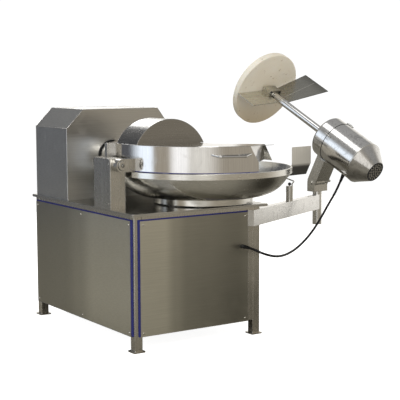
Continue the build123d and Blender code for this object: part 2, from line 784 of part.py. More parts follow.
with BuildPart() as lid_cover:
    add(lid_block)
    with BuildSketch(Plane.XY.offset(lid_low_z)):
        with Locations((bowl_x, bowl_y)):
            Circle(lid_r)
            Circle(lid_r - lid_wall, mode=Mode.SUBTRACT)
        add(gate_outline, mode=Mode.INTERSECT)
    extrude(amount=lid_gate_z - lid_low_z)
    add(lid_hollow, mode=Mode.SUBTRACT)
    with BuildSketch(Plane.XY.offset(lid_top_z - 2 * lid_wall)):
        with Locations((drum_x, (drum_front_y + drum_back_y) / 2)):
            drum_chord = sqrt((drum_r - lid_wall) ** 2 - (lid_top_z - drum_z) ** 2)
            Rectangle(2 * drum_chord, drum_back_y - drum_front_y - 2 * lid_wall)
        with Locations((bowl_x, bowl_y)):
            Circle(lid_r - lid_wall, mode=Mode.INTERSECT)
    extrude(amount=3 * lid_wall, mode=Mode.SUBTRACT)
    add(nose_slot.part, mode=Mode.SUBTRACT)
    wing_top = Vector(*lid_front_top, lid_top_z - lid_wall)
    wing_root = Vector(*lid_front_low, lid_gate_z)
    wing_tip = wing_root + Vector(*lid_wing)
    wing_reach = wing_tip - wing_root
    WING = Plane(origin=wing_root, x_dir=wing_reach, z_dir=wing_reach.cross(wing_top - wing_root))
    with BuildSketch(WING):
        top_at = WING.to_local_coords(wing_top)
        tip_at = WING.to_local_coords(wing_tip)
        with BuildLine():
            Polyline(
                (-lid_wall, 0),
                (tip_at.X, 0),
                (top_at.X + lid_wall, top_at.Y),
                (top_at.X - lid_wall, top_at.Y),
                close=True,
            )
        make_face()
    extrude(amount=lid_wall / 2, both=True)
finish(lid_cover, "lid_cover")


def drum_form(inset):
    """The round guard over the knives, above the lid's top, as a block moved inwards by an inset."""
    with BuildPart() as form:
        with BuildSketch(across(drum_front_y + inset)):
            with Locations((drum_x, drum_z)):
                Circle(drum_r - inset)
            with Locations((drum_x, lid_top_z - drum_r)):
                Rectangle(2 * drum_r, 2 * drum_r, mode=Mode.SUBTRACT)
        extrude(amount=-(drum_back_y - drum_front_y - 2 * inset))
        with BuildSketch(Plane.XY.offset(lid_top_z)):
            with Locations((bowl_x, bowl_y)):
                Circle(lid_r - inset)
        extrude(amount=2 * drum_r, mode=Mode.INTERSECT)
    return form.part


drum_block = drum_form(0)
drum_hollow = drum_form(lid_wall)
with BuildPart() as knife_guard:
    add(drum_block)
    add(drum_hollow, mode=Mode.SUBTRACT)
finish(knife_guard, "knife_guard")

with BuildPart() as lid_seal:
    with BuildSketch(Plane.XY.offset(lid_low_z)):
        with Locations((bowl_x, bowl_y)):
            Circle(lid_r)
            Circle(lid_r - lid_seal_wall, mode=Mode.SUBTRACT)
        add(gate_outline, mode=Mode.INTERSECT)
    extrude(amount=-lid_seal_height)
    add(nose_slot.part, mode=Mode.SUBTRACT)
finish(lid_seal, "lid_seal")


def on_lid(heading, radius, height):
    """A point at a heading round the bowl's axis."""
    return (bowl_x + radius * cos(radians(heading)), bowl_y + radius * sin(radians(heading)), height)


with BuildPart() as lid_handle:
    bar_r = lid_r + handle_stand_off
    with BuildLine() as bar:
        FilletPolyline(
            on_lid(handle_feet_deg[0], lid_r - lid_wall, handle_z),
            on_lid(handle_bar_deg[0], bar_r, handle_z - handle_drop),
            on_lid(handle_bar_deg[1], bar_r, handle_z - handle_drop),
            on_lid(handle_feet_deg[1], lid_r - lid_wall, handle_z),
            radius=3 * handle_rod_r,
        )
    with BuildSketch(Plane(origin=bar.line @ 0, z_dir=bar.line % 0)):
        Circle(handle_rod_r)
    sweep(path=bar.line)
    with BuildSketch(Plane.XY.offset(lid_low_z)):
        with Locations((bowl_x, bowl_y)):
            Circle(lid_r)
    extrude(amount=lid_top_z - lid_low_z, mode=Mode.SUBTRACT)
finish(lid_handle, "lid_handle")

# ---- lid pedestal and hinge ---------------------------------------------------------------
pedestal_depth = pedestal_back_y - pedestal_front_y
pedestal_mid_y = (pedestal_back_y + pedestal_front_y) / 2
with BuildPart() as lid_pedestal:
    with BuildSketch(Plane.XY.offset(table_z)):
        with Locations((hinge_x, pedestal_mid_y)):
            Rectangle(pedestal_width, pedestal_depth)
    extrude(amount=pedestal_top_z - table_z)
    offset(amount=-sheet, openings=lid_pedestal.faces().sort_by(Axis.Z)[0])
    with BuildSketch(Plane.XY.offset(pedestal_top_z)):
        with Locations((hinge_x, pedestal_mid_y)):
            Rectangle(pedestal_width + pedestal_cap, pedestal_depth)
    extrude(amount=pedestal_cap)
    fillet(lid_pedestal.edges().filter_by(Axis.Y).group_by(Axis.Z)[-1], pedestal_cap / 3)
    with BuildSketch(across(pedestal_front_y)):
        with Locations((hinge_x, hinge_z)):
            Circle(2 * hinge_pin_r)
    extrude(amount=-pedestal_depth)
    with BuildSketch(across(pedestal_front_y)):
        with Locations((hinge_x, hinge_z)):
            Circle(hinge_pin_r)
    extrude(amount=-pedestal_depth, mode=Mode.SUBTRACT)
finish(lid_pedestal, "lid_pedestal")

front_lug = (hinge_front_y, pedestal_front_y - AIR)
back_lug = (pedestal_back_y + AIR, pedestal_back_y + AIR + hinge_back_block)
wall_x = bowl_x - lid_r
with BuildPart() as hinge_block:
    for lug_front, lug_back in (front_lug, back_lug):
        with BuildSketch(across(lug_front)):
            with Locations((hinge_x, hinge_z)):
                Circle(hinge_half_height)
            with Locations(((hinge_x + wall_x + pedestal_width / 2) / 2, hinge_z)):
                Rectangle(wall_x + pedestal_width / 2 - hinge_x, 2 * hinge_half_height)
        extrude(amount=lug_front - lug_back)
    with BuildSketch(across(back_lug[0])):
        with Locations((wall_x - AIR, (hinge_z + lid_top_z) / 2)):
            Rectangle(2 * hinge_upright, lid_top_z - hinge_z)
    extrude(amount=back_lug[0] - back_lug[1])
    with BuildSketch(across(hinge_front_y)):
        with Locations((hinge_x, hinge_z)):
            Circle(hinge_boss_r)
    extrude(amount=hinge_boss_thick)
    fillet(hinge_block.edges().group_by(Axis.Y)[0], pedestal_cap / 3)
    with BuildSketch(across(hinge_front_y - hinge_boss_thick)):
        with Locations((hinge_x, hinge_z)):
            Circle(hinge_pin_r + RUN_FIT)
    extrude(amount=hinge_front_y - hinge_boss_thick - back_lug[1], mode=Mode.SUBTRACT)
    with BuildSketch(Plane.XY.offset(table_z)):
        with Locations((bowl_x, bowl_y)):
            Circle(lid_r)
    extrude(amount=lid_top_z - table_z, mode=Mode.SUBTRACT)
finish(hinge_block, "hinge_block")

with BuildPart() as hinge_pin:
    pin_front_y = hinge_front_y - hinge_boss_thick - hinge_pin_proud
    with BuildSketch(across(pin_front_y)):
        with Locations((hinge_x, hinge_z)):
            Circle(hinge_pin_r)
    extrude(amount=pin_front_y - back_lug[1])
    chamfer(hinge_pin.edges().group_by(Axis.Y)[0], edge_break)
finish(hinge_pin, "hinge_pin")

# ---- discharge arm ------------------------------------------------------------------------
with BuildPart() as discharge_arm:
    with BuildSketch(ARM.offset(arm_low_z)):
        with Locations(((arm_run - arm_back_length) / 2, 0)):
            Rectangle(arm_run + arm_back_length, arm_thick)
    extrude(amount=arm_height)
    column_right_x = leg_pitch_x + half_leg
    with BuildSketch(Plane.XY.offset(arm_low_z)):
        with Locations((column_right_x / 2, table_z / 2 - half_leg)):
            Rectangle(column_right_x, table_z)
        panel_clear = panel_fold + AIR
        with Locations(((front_panel_right_x + AIR) / 2, -half_leg)):
            Rectangle(front_panel_right_x + AIR, 2 * panel_clear)
    extrude(amount=arm_height, mode=Mode.SUBTRACT)
    with BuildSketch(Plane.XY.offset(sleeve_low_z)):
        with Locations((post_x, post_y)):
            Circle(sleeve_r)
    extrude(amount=sleeve_top_z - sleeve_low_z)
    with BuildSketch(Plane.XY.offset(sleeve_low_z)):
        with Locations((post_x, post_y)):
            Circle(post_r + RUN_FIT)
    extrude(amount=sleeve_top_z - sleeve_low_z, mode=Mode.SUBTRACT)
finish(discharge_arm, "discharge_arm")

with BuildPart() as stop_tube:
    with BuildSketch(ARM.offset(arm_top_z)):
        with Locations((stop_tube_at, 0)):
            Circle(stop_tube_r)
            Circle(stop_tube_r - stop_tube_wall, mode=Mode.SUBTRACT)
    extrude(amount=stop_tube_top_z - arm_top_z)
    with BuildSketch(ARM.offset(stop_tube_top_z - stop_tube_wall)):
        with Locations((stop_tube_at, 0)):
            Circle(stop_tube_r)
    extrude(amount=stop_tube_wall)
    with BuildSketch(ARM.offset(stop_tube_top_z)):
        with Locations((stop_tube_at, 0)):
            Circle(stop_knob_r / 2)
    extrude(amount=stop_knob_r)
    with Locations(ARM.offset(stop_tube_top_z + 1.5 * stop_knob_r).from_local_coords((stop_tube_at, 0, 0))):
        Sphere(stop_knob_r)
finish(stop_tube, "stop_tube")

CHUTE_RUN = Vector(cos(radians(chute_turn_deg)), sin(radians(chute_turn_deg)), 0)
CHUTE = Plane(origin=(chute_x, chute_y, 0), x_dir=CHUTE_RUN.cross(Vector(0, 0, -1)), z_dir=CHUTE_RUN)
with BuildPart() as discharge_chute:
    with BuildSketch(CHUTE):
        with BuildLine():
            Polyline((0, chute_top_z), (0, chute_bend_z), (chute_back, chute_low_z))
            offset(amount=chute_sheet, side=Side.LEFT)
        make_face()
    extrude(amount=chute_width)
finish(discharge_chute, "discharge_chute")

# a bent rod from the stop tube's cap to the chute's lower edge
LOOK = Vector(cos(radians(-hook_heading_deg)), sin(radians(-hook_heading_deg)), 0)
tube_top = Vector(*ARM.from_local_coords((stop_tube_at, 0, stop_tube_top_z)))
slope = Vector(chute_back, chute_low_z - chute_bend_z).normalized()
edge_back = chute_back - slope.X * 2 * hook_rod_r + slope.Y * hook_rod_r
edge_z = chute_low_z - slope.Y * 2 * hook_rod_r - slope.X * hook_rod_r
with BuildPart() as hook_rod:
    with BuildLine() as hook:
        FilletPolyline(
            tube_top + LOOK * hook_start,
            tube_top + LOOK * hook_start + Vector(0, 0, hook_rise / 2),
            tube_top + LOOK * hook_out + Vector(0, 0, hook_rise),
            Vector(*CHUTE.from_local_coords((edge_back, edge_z - hook_rise / 2, -hook_rise))),
            Vector(*CHUTE.from_local_coords((edge_back, edge_z, hook_rise / 2))),
            radius=1.5 * hook_rod_r,
        )
    with BuildSketch(Plane(origin=hook.line @ 0, z_dir=hook.line % 0)):
        Circle(hook_rod_r)
    sweep(path=hook.line)
    add(discharge_chute.part, mode=Mode.SUBTRACT)
finish(hook_rod, "hook_rod")

# ---- post and its fork head ---------------------------------------------------------------
HEAD_SIDE = Plane(origin=PIN, x_dir=HEADING, z_dir=SIDE)  # x along the heading, y up
FORK_SIDE = Plane(origin=PIN, x_dir=AXIS, z_dir=SIDE)  # x along the unit's axis, y up
head_width = fork_width - 2 * fork_plate - 2 * AIR
with BuildPart() as post_head:
    with BuildSketch(Plane.XY.offset(sleeve_low_z)):
        with Locations((post_x, post_y)):
            Circle(post_r)
    extrude(amount=head_base_z - sleeve_low_z)
    with BuildSketch(HEAD_SIDE):
        with Locations((0, (head_base_z - pin_z) / 2 - head_lug_r / 4)):
            Rectangle(head_depth, pin_z - head_base_z - head_lug_r / 2)
        Circle(head_lug_r)
        Circle(pin_r + RUN_FIT, mode=Mode.SUBTRACT)
    extrude(amount=head_width / 2, both=True)
finish(post_head, "post_head")

# ---- discharge unit -----------------------------------------------------------------------
with BuildPart() as tilt_fork:
    for side in (-1, 1):
        with BuildSketch(FORK_SIDE.offset(side * (fork_width / 2 - fork_plate / 2))):
            with Locations((0, axis_height / 2)):
                Rectangle(fork_depth, axis_height)
        extrude(amount=fork_plate / 2, both=True)
        with BuildSketch(HEAD_SIDE.offset(side * (fork_width / 2 - fork_plate / 2))):
            with Locations((0, (head_base_z - pin_z) / 2)):
                Rectangle(head_depth, pin_z - head_base_z)
            Circle(head_depth / 2)
        extrude(amount=fork_plate / 2, both=True)
    with BuildSketch(FORK_SIDE):
        with Locations(((fork_web - fork_depth) / 2, (axis_height + fork_web_low) / 2)):
            Rectangle(fork_web, axis_height - fork_web_low)
    extrude(amount=fork_width / 2, both=True)
    with BuildSketch(unit_plane(-fork_depth)):
        Circle(unit_motor_r)
        with Locations((0, unit_motor_r)):
            Rectangle(2 * unit_motor_r, 2 * unit_motor_r)
    extrude(amount=-2 * fork_depth, mode=Mode.SUBTRACT)
    with BuildSketch(FORK_SIDE):
        Circle(pin_r)
    extrude(amount=fork_width, both=True, mode=Mode.SUBTRACT)
finish(tilt_fork, "tilt_fork")

with BuildPart() as tilt_pin:
    with BuildSketch(HEAD_SIDE.offset(-fork_width / 2)):
        Circle(pin_r)
    extrude(amount=fork_width / 2 + pin_right)
    with BuildSketch(HEAD_SIDE.offset(-pin_left)):
        RegularPolygon(radius=pin_head_r, side_count=6)
    extrude(amount=pin_left - fork_width / 2)
    chamfer(tilt_pin.edges().group_by(Axis(PIN, SIDE))[-1], edge_break)
finish(tilt_pin, "tilt_pin")

with BuildPart() as unit_motor:
    with BuildSketch(UNIT_SECTION):
        with BuildLine():
            Polyline(
                (unit_cap_back, unit_motor_r - unit_sheet),
                (unit_cap_back, unit_motor_r),
                (unit_cone_start, unit_motor_r),
                (unit_cone_end, unit_cone_r),
                (unit_cone_end, 0),
                (unit_cone_end + unit_sheet, 0),
                (unit_cone_end + unit_sheet, unit_cone_r - unit_sheet),
                (unit_cone_start, unit_motor_r - unit_sheet),
                close=True,
            )
        make_face()
    revolve(axis=UNIT_AXIS)
finish(unit_motor, "unit_motor")

with BuildPart() as unit_cap:
    with BuildSketch(UNIT_SECTION):
        with Locations(((unit_cap_back + unit_cap_front) / 2, unit_motor_r / 2)):
            Rectangle(unit_cap_front - unit_cap_back, unit_motor_r)
    revolve(axis=UNIT_AXIS)
    fillet(unit_cap.edges().filter_by(GeomType.CIRCLE).sort_by(UNIT_AXIS)[-1], cap_edge_r)
    offset(amount=-unit_sheet, openings=unit_cap.faces().sort_by(UNIT_AXIS)[0])
    with BuildSketch(unit_plane(unit_cap_back)):
        Circle(tube_r)
    extrude(amount=unit_cap_back - unit_cap_front, mode=Mode.SUBTRACT)
finish(unit_cap, "unit_cap")

with BuildPart() as shaft_tube:
    with BuildSketch(unit_plane(unit_cap_back)):
        Circle(tube_r)
    extrude(amount=unit_cap_back - disc_face + tube_gap)
    with BuildSketch(unit_plane(disc_face - tube_gap)):
        Circle(disc_shaft_r + RUN_FIT)
    extrude(amount=disc_face - tube_gap - disc_shaft_back + RUN_FIT, mode=Mode.SUBTRACT)
finish(shaft_tube, "shaft_tube")

with BuildPart() as discharge_disc:
    with BuildSketch(unit_plane(disc_face)):
        Circle(disc_r)
    extrude(amount=-disc_thick)
    fillet(discharge_disc.edges().filter_by(GeomType.CIRCLE), disc_edge_r)
    with BuildSketch(unit_plane(disc_face)):
        Circle(disc_shaft_r)
    extrude(amount=disc_face - disc_shaft_back)
    with BuildSketch(unit_plane(disc_face)):
        Circle(tube_r)
    extrude(amount=tube_gap - AIR)
finish(discharge_disc, "discharge_disc")


# the scraper's blades run beside the tube and end just short of the disc
def blade(root, tip, flare):
    """A flat blade from its root to its tip; its tip runs back past its root by the flare."""
    reach = SIDE * (tip[0] - root[0]) + RISE * (tip[1] - root[1])
    flat = Plane(origin=UNIT_CENTRE + SIDE * root[0] + RISE * root[1], x_dir=AXIS, z_dir=AXIS.cross(reach))
    with BuildPart() as made:
        with BuildSketch(flat):
            with BuildLine():
                Polyline(
                    (scraper_back, 0),
                    (scraper_front, 0),
                    (scraper_front, reach.length),
                    (scraper_back - flare, reach.length),
                    close=True,
                )
            make_face()
        extrude(amount=copysign(scraper_sheet, root[0] - tip[0]))
    return made.part


with BuildPart() as scraper:
    with BuildSketch(unit_plane(clamp_back)):
        RectangleRounded(*clamp_size, scraper_sheet)
    extrude(amount=clamp_back - scraper_front)
    add(blade(scraper_left_root, scraper_left, 0))
    add(blade(scraper_right_root, scraper_right, scraper_right_flare))
    with BuildSketch(unit_plane(clamp_back)):
        Circle(tube_r)
    extrude(amount=clamp_back - scraper_front, mode=Mode.SUBTRACT)
finish(scraper, "scraper")

# ---- cable to the discharge motor ---------------------------------------------------------
with BuildPart() as cabinet_gland:
    with BuildSketch(across(-half_leg - panel_fold)):
        with Locations((gland_x, gland_z)):
            Circle(gland_r)
    extrude(amount=gland_length)
    fillet(cabinet_gland.edges().group_by(Axis.Y)[0], gland_r / 3)
finish(cabinet_gland, "cabinet_gland")

with BuildPart() as motor_gland:
    gland_plane = Plane(
        origin=UNIT_CENTRE + AXIS * motor_gland_along - RISE * unit_motor_r, x_dir=SIDE, z_dir=RISE * -1
    )
    with BuildSketch(gland_plane):
        Circle(gland_r)
    extrude(amount=gland_length)
    with BuildSketch(gland_plane):
        Circle(gland_r)
    extrude(amount=-gland_r)
    with BuildSketch(unit_plane(motor_gland_along - gland_r)):
        Circle(unit_motor_r)
    extrude(amount=-2 * gland_r, mode=Mode.SUBTRACT)
finish(motor_gland, "motor_gland")

cable_end = UNIT_CENTRE + AXIS * motor_gland_along - RISE * (unit_motor_r + gland_length + 2 * AIR)
CABLE_ROUTE = [
    (gland_x, -half_leg - panel_fold - gland_length, gland_z),
    (gland_x, -120, gland_z),
    (740, -171, 512),
    (800, -185, 492),
    (872, -150, 478),
    (958, -92, 467),
    (1050, -35, 466),
    (1150, 18, 480),
    (1250, 62, 515),
    (1340, 96, 564),
    (1425, 126, 630),
    (1478, 147, 675),
    (1534, 172, 718),
    (1597, 197, 766),
    tuple(cable_end - RISE * cable_drop),
    tuple(cable_end),
]


def bend_radii(route):
    """One bend radius per inner point, from the shorter of its two runs and its turn."""
    points = [Vector(*point) for point in route]
    radii = []
    for before, here, after in zip(points, points[1:], points[2:]):
        turn = radians((here - before).get_angle(after - here))
        run = min((here - before).length, (after - here).length)
        radii.append(bend_share * run / tan(turn / 2))
    return radii


cable_radii = bend_radii(CABLE_ROUTE)
print("cable bend radii", [round(radius) for radius in cable_radii])
with BuildPart() as motor_cable:
    with BuildLine() as route:
        FilletPolyline(*CABLE_ROUTE, radius=cable_radii)
    with BuildSketch(Plane(origin=route.line @ 0, z_dir=route.line % 0)):
        Circle(cable_r)
    sweep(path=route.line)
cable_length = route.wire().length
print("cable length", round(cable_length), "volume", round(motor_cable.part.volume))
print("section times length", round(pi * cable_r**2 * cable_length))
finish(motor_cable, "motor_cable")
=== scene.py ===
import json
from math import cos, pi, radians, sin

import bmesh
import bpy
import numpy as np
from mathutils import Matrix, Vector


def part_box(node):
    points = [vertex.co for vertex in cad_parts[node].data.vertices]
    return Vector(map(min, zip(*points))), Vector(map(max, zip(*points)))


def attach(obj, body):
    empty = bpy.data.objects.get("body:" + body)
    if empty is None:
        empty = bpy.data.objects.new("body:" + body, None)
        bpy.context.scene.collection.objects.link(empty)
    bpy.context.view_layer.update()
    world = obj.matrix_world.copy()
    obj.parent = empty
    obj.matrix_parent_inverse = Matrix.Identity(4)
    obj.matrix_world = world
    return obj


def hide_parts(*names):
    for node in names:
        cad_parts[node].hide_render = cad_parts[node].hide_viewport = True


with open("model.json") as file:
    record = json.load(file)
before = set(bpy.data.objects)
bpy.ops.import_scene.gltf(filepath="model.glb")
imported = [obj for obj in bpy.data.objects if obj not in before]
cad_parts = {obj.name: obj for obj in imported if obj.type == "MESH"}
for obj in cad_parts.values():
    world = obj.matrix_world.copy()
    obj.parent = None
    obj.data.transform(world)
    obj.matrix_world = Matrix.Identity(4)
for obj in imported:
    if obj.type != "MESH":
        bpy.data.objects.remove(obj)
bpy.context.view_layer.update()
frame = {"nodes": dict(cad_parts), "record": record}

# ---- camera, cable and discharge unit: metres and radians ---------------------------------
EYE = Vector((-3.0295, -5.2053, 1.5535))
LOOK_YAW, LOOK_PITCH, LOOK_ROLL = 0.5861, -0.1159, -0.0032
LENS_MM, SENSOR_MM = 99.16, 36.0
CLIP_NEAR, CLIP_FAR = 0.1, 100

GLAND_X, GLAND_FACE_Y, GLAND_Z = 0.702, -0.056, 0.538
CABLE_R = 0.007
UNIT_HEADING, UNIT_TILT = radians(97.7), radians(27.5)
TILT_PIN = Vector((1.605, 0.379, 0.8305))
AXIS_HEIGHT, MOTOR_R, MOTOR_GLAND_ALONG, GLAND_LENGTH = 0.312, 0.1365, -0.170, 0.025
HINGE_X, HINGE_Z = 0.0025, 1.033

heading = Vector((cos(UNIT_HEADING), sin(UNIT_HEADING), 0))
AXIS = heading * cos(UNIT_TILT) + Vector((0, 0, sin(UNIT_TILT)))
RISE = heading * -sin(UNIT_TILT) + Vector((0, 0, cos(UNIT_TILT)))
SIDE = AXIS.cross(RISE)
UNIT_CENTRE = TILT_PIN + RISE * AXIS_HEIGHT


def on_unit(along, x, y):
    """A point of the discharge unit: along its axis, to its right and upwards from the axis."""
    return UNIT_CENTRE + AXIS * along + SIDE * x + RISE * y


def add_camera():
    """A camera at the eye point, turned by yaw, pitch and roll."""
    forward = Vector((sin(LOOK_YAW) * cos(LOOK_PITCH), cos(LOOK_YAW) * cos(LOOK_PITCH), sin(LOOK_PITCH)))
    level = Vector((cos(LOOK_YAW), -sin(LOOK_YAW), 0))
    up = level.cross(forward)
    right = level * cos(LOOK_ROLL) + up * sin(LOOK_ROLL)
    up = right.cross(forward)
    data = bpy.data.cameras.new("camera")
    data.lens, data.sensor_width = LENS_MM, SENSOR_MM
    data.clip_start, data.clip_end = CLIP_NEAR, CLIP_FAR
    camera = bpy.data.objects.new("camera", data)
    camera.matrix_world = Matrix.Translation(EYE) @ Matrix((right, up, -forward)).transposed().to_4x4()
    bpy.context.collection.objects.link(camera)
    bpy.context.scene.camera = camera


# ---- node helpers -------------------------------------------------------------------------
def new_material(name):
    """A material with an empty Principled surface; returns it with its tree and its shader."""
    material = bpy.data.materials.new(name)
    material.use_nodes = True
    tree = material.node_tree
    return material, tree, tree.nodes["Principled BSDF"]


def set_inputs(tree, node, sockets):
    """Inputs are given by socket name with spaces as underscores, or by index as i0."""
    for name, value in sockets.items():
        key = int(name[1:]) if name[0] == "i" and name[1:].isdigit() else name.replace("_", " ")
        if isinstance(value, bpy.types.NodeSocket):
            tree.links.new(value, node.inputs[key])
        else:
            node.inputs[key].default_value = value


def place(tree, kind, **sockets):
    """Adds a node with its inputs set."""
    node = tree.nodes.new(kind)
    set_inputs(tree, node, sockets)
    return node


def use(tree, group_tree, **sockets):
    """Places a group in a material with its inputs set; returns its outputs."""
    node = tree.nodes.new("ShaderNodeGroup")
    node.node_tree = group_tree
    set_inputs(tree, node, sockets)
    return node.outputs


def noise(tree, where, scale, detail, roughness=0.5, distortion=0.0):
    """A noise between 0 and 1 at a place."""
    return place(tree, "ShaderNodeTexNoise", Vector=where, Scale=scale, Detail=detail, Roughness=roughness,
                 Distortion=distortion).outputs[0]


def spread_over(tree, value, low=0.0, high=1.0, to_low=0.0, to_high=1.0):
    """The value's place between low and high, carried over to between to_low and to_high."""
    return place(tree, "ShaderNodeMapRange", Value=value, From_Min=low, From_Max=high,
                 To_Min=to_low, To_Max=to_high).outputs[0]


def reckon(tree, operation, *values):
    """A Math node's result."""
    node = place(tree, "ShaderNodeMath", **{f"i{index}": value for index, value in enumerate(values)})
    node.operation = operation
    return node.outputs[0]


def measure(tree, operation, first, second):
    """A vector Math node's number, such as a distance."""
    node = place(tree, "ShaderNodeVectorMath", i0=first, i1=second)
    node.operation = operation
    return node.outputs["Value"]


def ramp(tree, factor, stops, smooth="LINEAR"):
    """A colour ramp with (position, colour) stops; a number stands for a grey."""
    node = place(tree, "ShaderNodeValToRGB", Fac=factor)
    node.color_ramp.interpolation = smooth
    elements = node.color_ramp.elements
    while len(elements) < len(stops):
        elements.new(0.5)
    for element, (position, colour) in zip(elements, stops):
        element.position = position
        grey = (colour,) * 3 if isinstance(colour, (int, float)) else colour
        element.color = (*grey, 1)
    return node.outputs["Color"]


def object_coords(tree, scale=(1, 1, 1)):
    """Object coordinates through a Mapping."""
    source = tree.nodes.new("ShaderNodeTexCoord").outputs["Object"]
    return place(tree, "ShaderNodeMapping", Vector=source, Scale=scale).outputs["Vector"]


def group(name, inputs, outputs):
    """An empty shader node group with named number or vector sockets."""
    tree = bpy.data.node_groups.new(name, "ShaderNodeTree")
    kinds = {"f": "NodeSocketFloat", "v": "NodeSocketVector"}
    for label, kind in inputs:
        tree.interface.new_socket(label, in_out="INPUT", socket_type=kinds[kind])
    for label, kind in outputs:
        tree.interface.new_socket(label, in_out="OUTPUT", socket_type=kinds[kind])
    return tree, tree.nodes.new("NodeGroupInput").outputs, tree.nodes.new("NodeGroupOutput").inputs


def mix(tree, factor, a, b):
    """A colour between a and b."""
    node = tree.nodes.new("ShaderNodeMix")
    node.data_type = "RGBA"
    share, first, second = node.inputs[0], node.inputs[6], node.inputs[7]  # 6 and 7 take colours
    for socket, value in ((share, factor), (first, a), (second, b)):
        if isinstance(value, bpy.types.NodeSocket):
            tree.links.new(value, socket)
        else:
            socket.default_value = value if socket == share else (*value, 1)
    return node.outputs[2]


def set_bump(tree, shader, strength, distance, height):
    """A fine relief on a shader's normal."""
    bump = place(tree, "ShaderNodeBump", Strength=strength, Distance=distance, Height=height)
    tree.links.new(bump.outputs[0], shader.inputs["Normal"])


# ---- finishes -----------------------------------------------------------------------------
STREAK_DARK, STREAK_LIGHT = 0.91, 1.06  # how far single streaks stand out from the two tones
MARK_TONE, MARK_ROUGHNESS = 0.55, 0.09  # wiping marks: share of the dark tone, added roughness
BRUSHING_DEPTH = 0.0004
DUST_SHARE, DUST_TONE = 0.85, 0.012  # how much of rubber's own tone shows through dust, the dust's tone
DUST_ROUGHNESS = 0.1
RUBBED_SHARE = 0.72  # how much of the paint's tone rubbed patches keep


def make_brushing_group():
    """Fine lines along one direction with a slow cloudy change and a few smears.

    Vector is the place, already stretched along the lines. Lines is 0..1 fine streaks, Cloud a
    broad 0..1 change, Smear the sparse marks that wiping leaves."""
    tree, given, out = group("brushing", [("Vector", "v"), ("Place", "v")],
                             [("Lines", "f"), ("Cloud", "f"), ("Smear", "f")])
    lines = noise(tree, given["Vector"], scale=1.0, detail=4.0, roughness=0.7)
    cloud = noise(tree, given["Place"], scale=3.1, detail=2.0)
    smear = noise(tree, given["Place"], scale=17.0, detail=5.0, roughness=0.62, distortion=1.6)
    tree.links.new(lines, out["Lines"])
    tree.links.new(cloud, out["Cloud"])
    tree.links.new(spread_over(tree, smear, low=0.52, high=0.72), out["Smear"])
    return tree


def steel(name, dark, light, rough, spread, stretch, bump, mottle=0.0, painted_light=None, metal=1.0):
    """Stainless sheet or tube: two tones under fine brushing, with roughness that follows it.

    mottle is how far wiping marks dull the tone. The painted-light argument is (direction, stops):
    along that direction the tone is multiplied by the stops' greys, a painted shade and painted reflection."""
    material, tree, shader = new_material(name)
    marks = use(tree, BRUSHING, Vector=object_coords(tree, stretch), Place=object_coords(tree))
    tone = mix(tree, marks["Cloud"], dark, light)
    streaks = mix(tree, spread_over(tree, marks["Lines"], low=0.3, high=0.7),
                  tuple(c * STREAK_DARK for c in dark), tuple(min(1, c * STREAK_LIGHT) for c in light))
    base = mix(tree, 0.5, tone, streaks)
    if mottle:
        marked = reckon(tree, "MULTIPLY", marks["Smear"], mottle)
        base = mix(tree, marked, base, tuple(c * MARK_TONE for c in dark))
    # painted shade and painted reflection: the tone multiplied by greys along one direction
    if painted_light:
        along, stops = painted_light
        reach = measure(tree, "DOT_PRODUCT", object_coords(tree), along)
        base = mix(tree, 1.0, base, ramp(tree, reach, stops, "EASE"))
        base.node.blend_type = "MULTIPLY"
    tree.links.new(base, shader.inputs["Base Color"])
    shader.inputs["Metallic"].default_value = metal
    level = spread_over(tree, marks["Lines"], low=0.25, high=0.75, to_low=rough - spread, to_high=rough + spread)
    smeared = reckon(tree, "MULTIPLY_ADD", marks["Smear"], MARK_ROUGHNESS, level)
    tree.links.new(smeared, shader.inputs["Roughness"])
    set_bump(tree, shader, bump, BRUSHING_DEPTH, marks["Lines"])
    return material


def rubber(name, colour, rough, grain=900.0):
    """Matt rubber or plastic: a plain tone with dusty patches and a fine pebbled surface."""
    material, tree, shader = new_material(name)
    shader.inputs["Specular IOR Level"].default_value = 0.3
    where = object_coords(tree)
    dust = noise(tree, where, scale=24.0, detail=4.0, roughness=0.6)
    dusty = tuple(c * DUST_SHARE + DUST_TONE for c in colour)
    tone = mix(tree, spread_over(tree, dust, low=0.4, high=0.75), colour, dusty)
    tree.links.new(tone, shader.inputs["Base Color"])
    level = spread_over(tree, dust, to_low=rough - DUST_ROUGHNESS, to_high=rough + DUST_ROUGHNESS)
    tree.links.new(level, shader.inputs["Roughness"])
    pebble = noise(tree, where, scale=grain, detail=2.0)
    set_bump(tree, shader, strength=0.25, distance=0.0003, height=pebble)
    return material


def ivory_nylon():
    """Cast nylon: warm ivory with painted shade that turns it tan toward its foot, small brown stains and a satin
    surface.
    """
    ivory, deep_ivory, shaded_tan, stain = (0.90, 0.85, 0.735), (0.85, 0.78, 0.64), (0.66, 0.55, 0.38), (0.34, 0.22, 0.11)
    shade_from_z, shade_full_at_z = 1.42, 1.20
    material, tree, shader = new_material("ivory_nylon")
    where = object_coords(tree)
    cloud = noise(tree, where, scale=7.0, detail=4.0, roughness=0.6)
    tone = mix(tree, spread_over(tree, cloud, low=0.35, high=0.7), ivory, deep_ivory)
    height = place(tree, "ShaderNodeSeparateXYZ", Vector=where).outputs["Z"]
    # painted shade: tan below z 1.42, fully tan at z 1.20
    tone = mix(tree, spread_over(tree, height, low=shade_from_z, high=shade_full_at_z), tone, shaded_tan)
    spots = noise(tree, where, scale=34.0, detail=3.0, roughness=0.7)
    stained = mix(tree, spread_over(tree, spots, low=0.63, high=0.72, to_high=0.7), tone, stain)
    tree.links.new(stained, shader.inputs["Base Color"])
    tree.links.new(spread_over(tree, cloud, to_low=0.36, to_high=0.52), shader.inputs["Roughness"])
    shader.inputs["Subsurface Weight"].default_value = 0.08
    shader.inputs["Subsurface Radius"].default_value = (0.01, 0.007, 0.004)
    tooling = noise(tree, where, scale=240.0, detail=2.0)
    set_bump(tree, shader, strength=0.08, distance=0.0005, height=tooling)
    return material


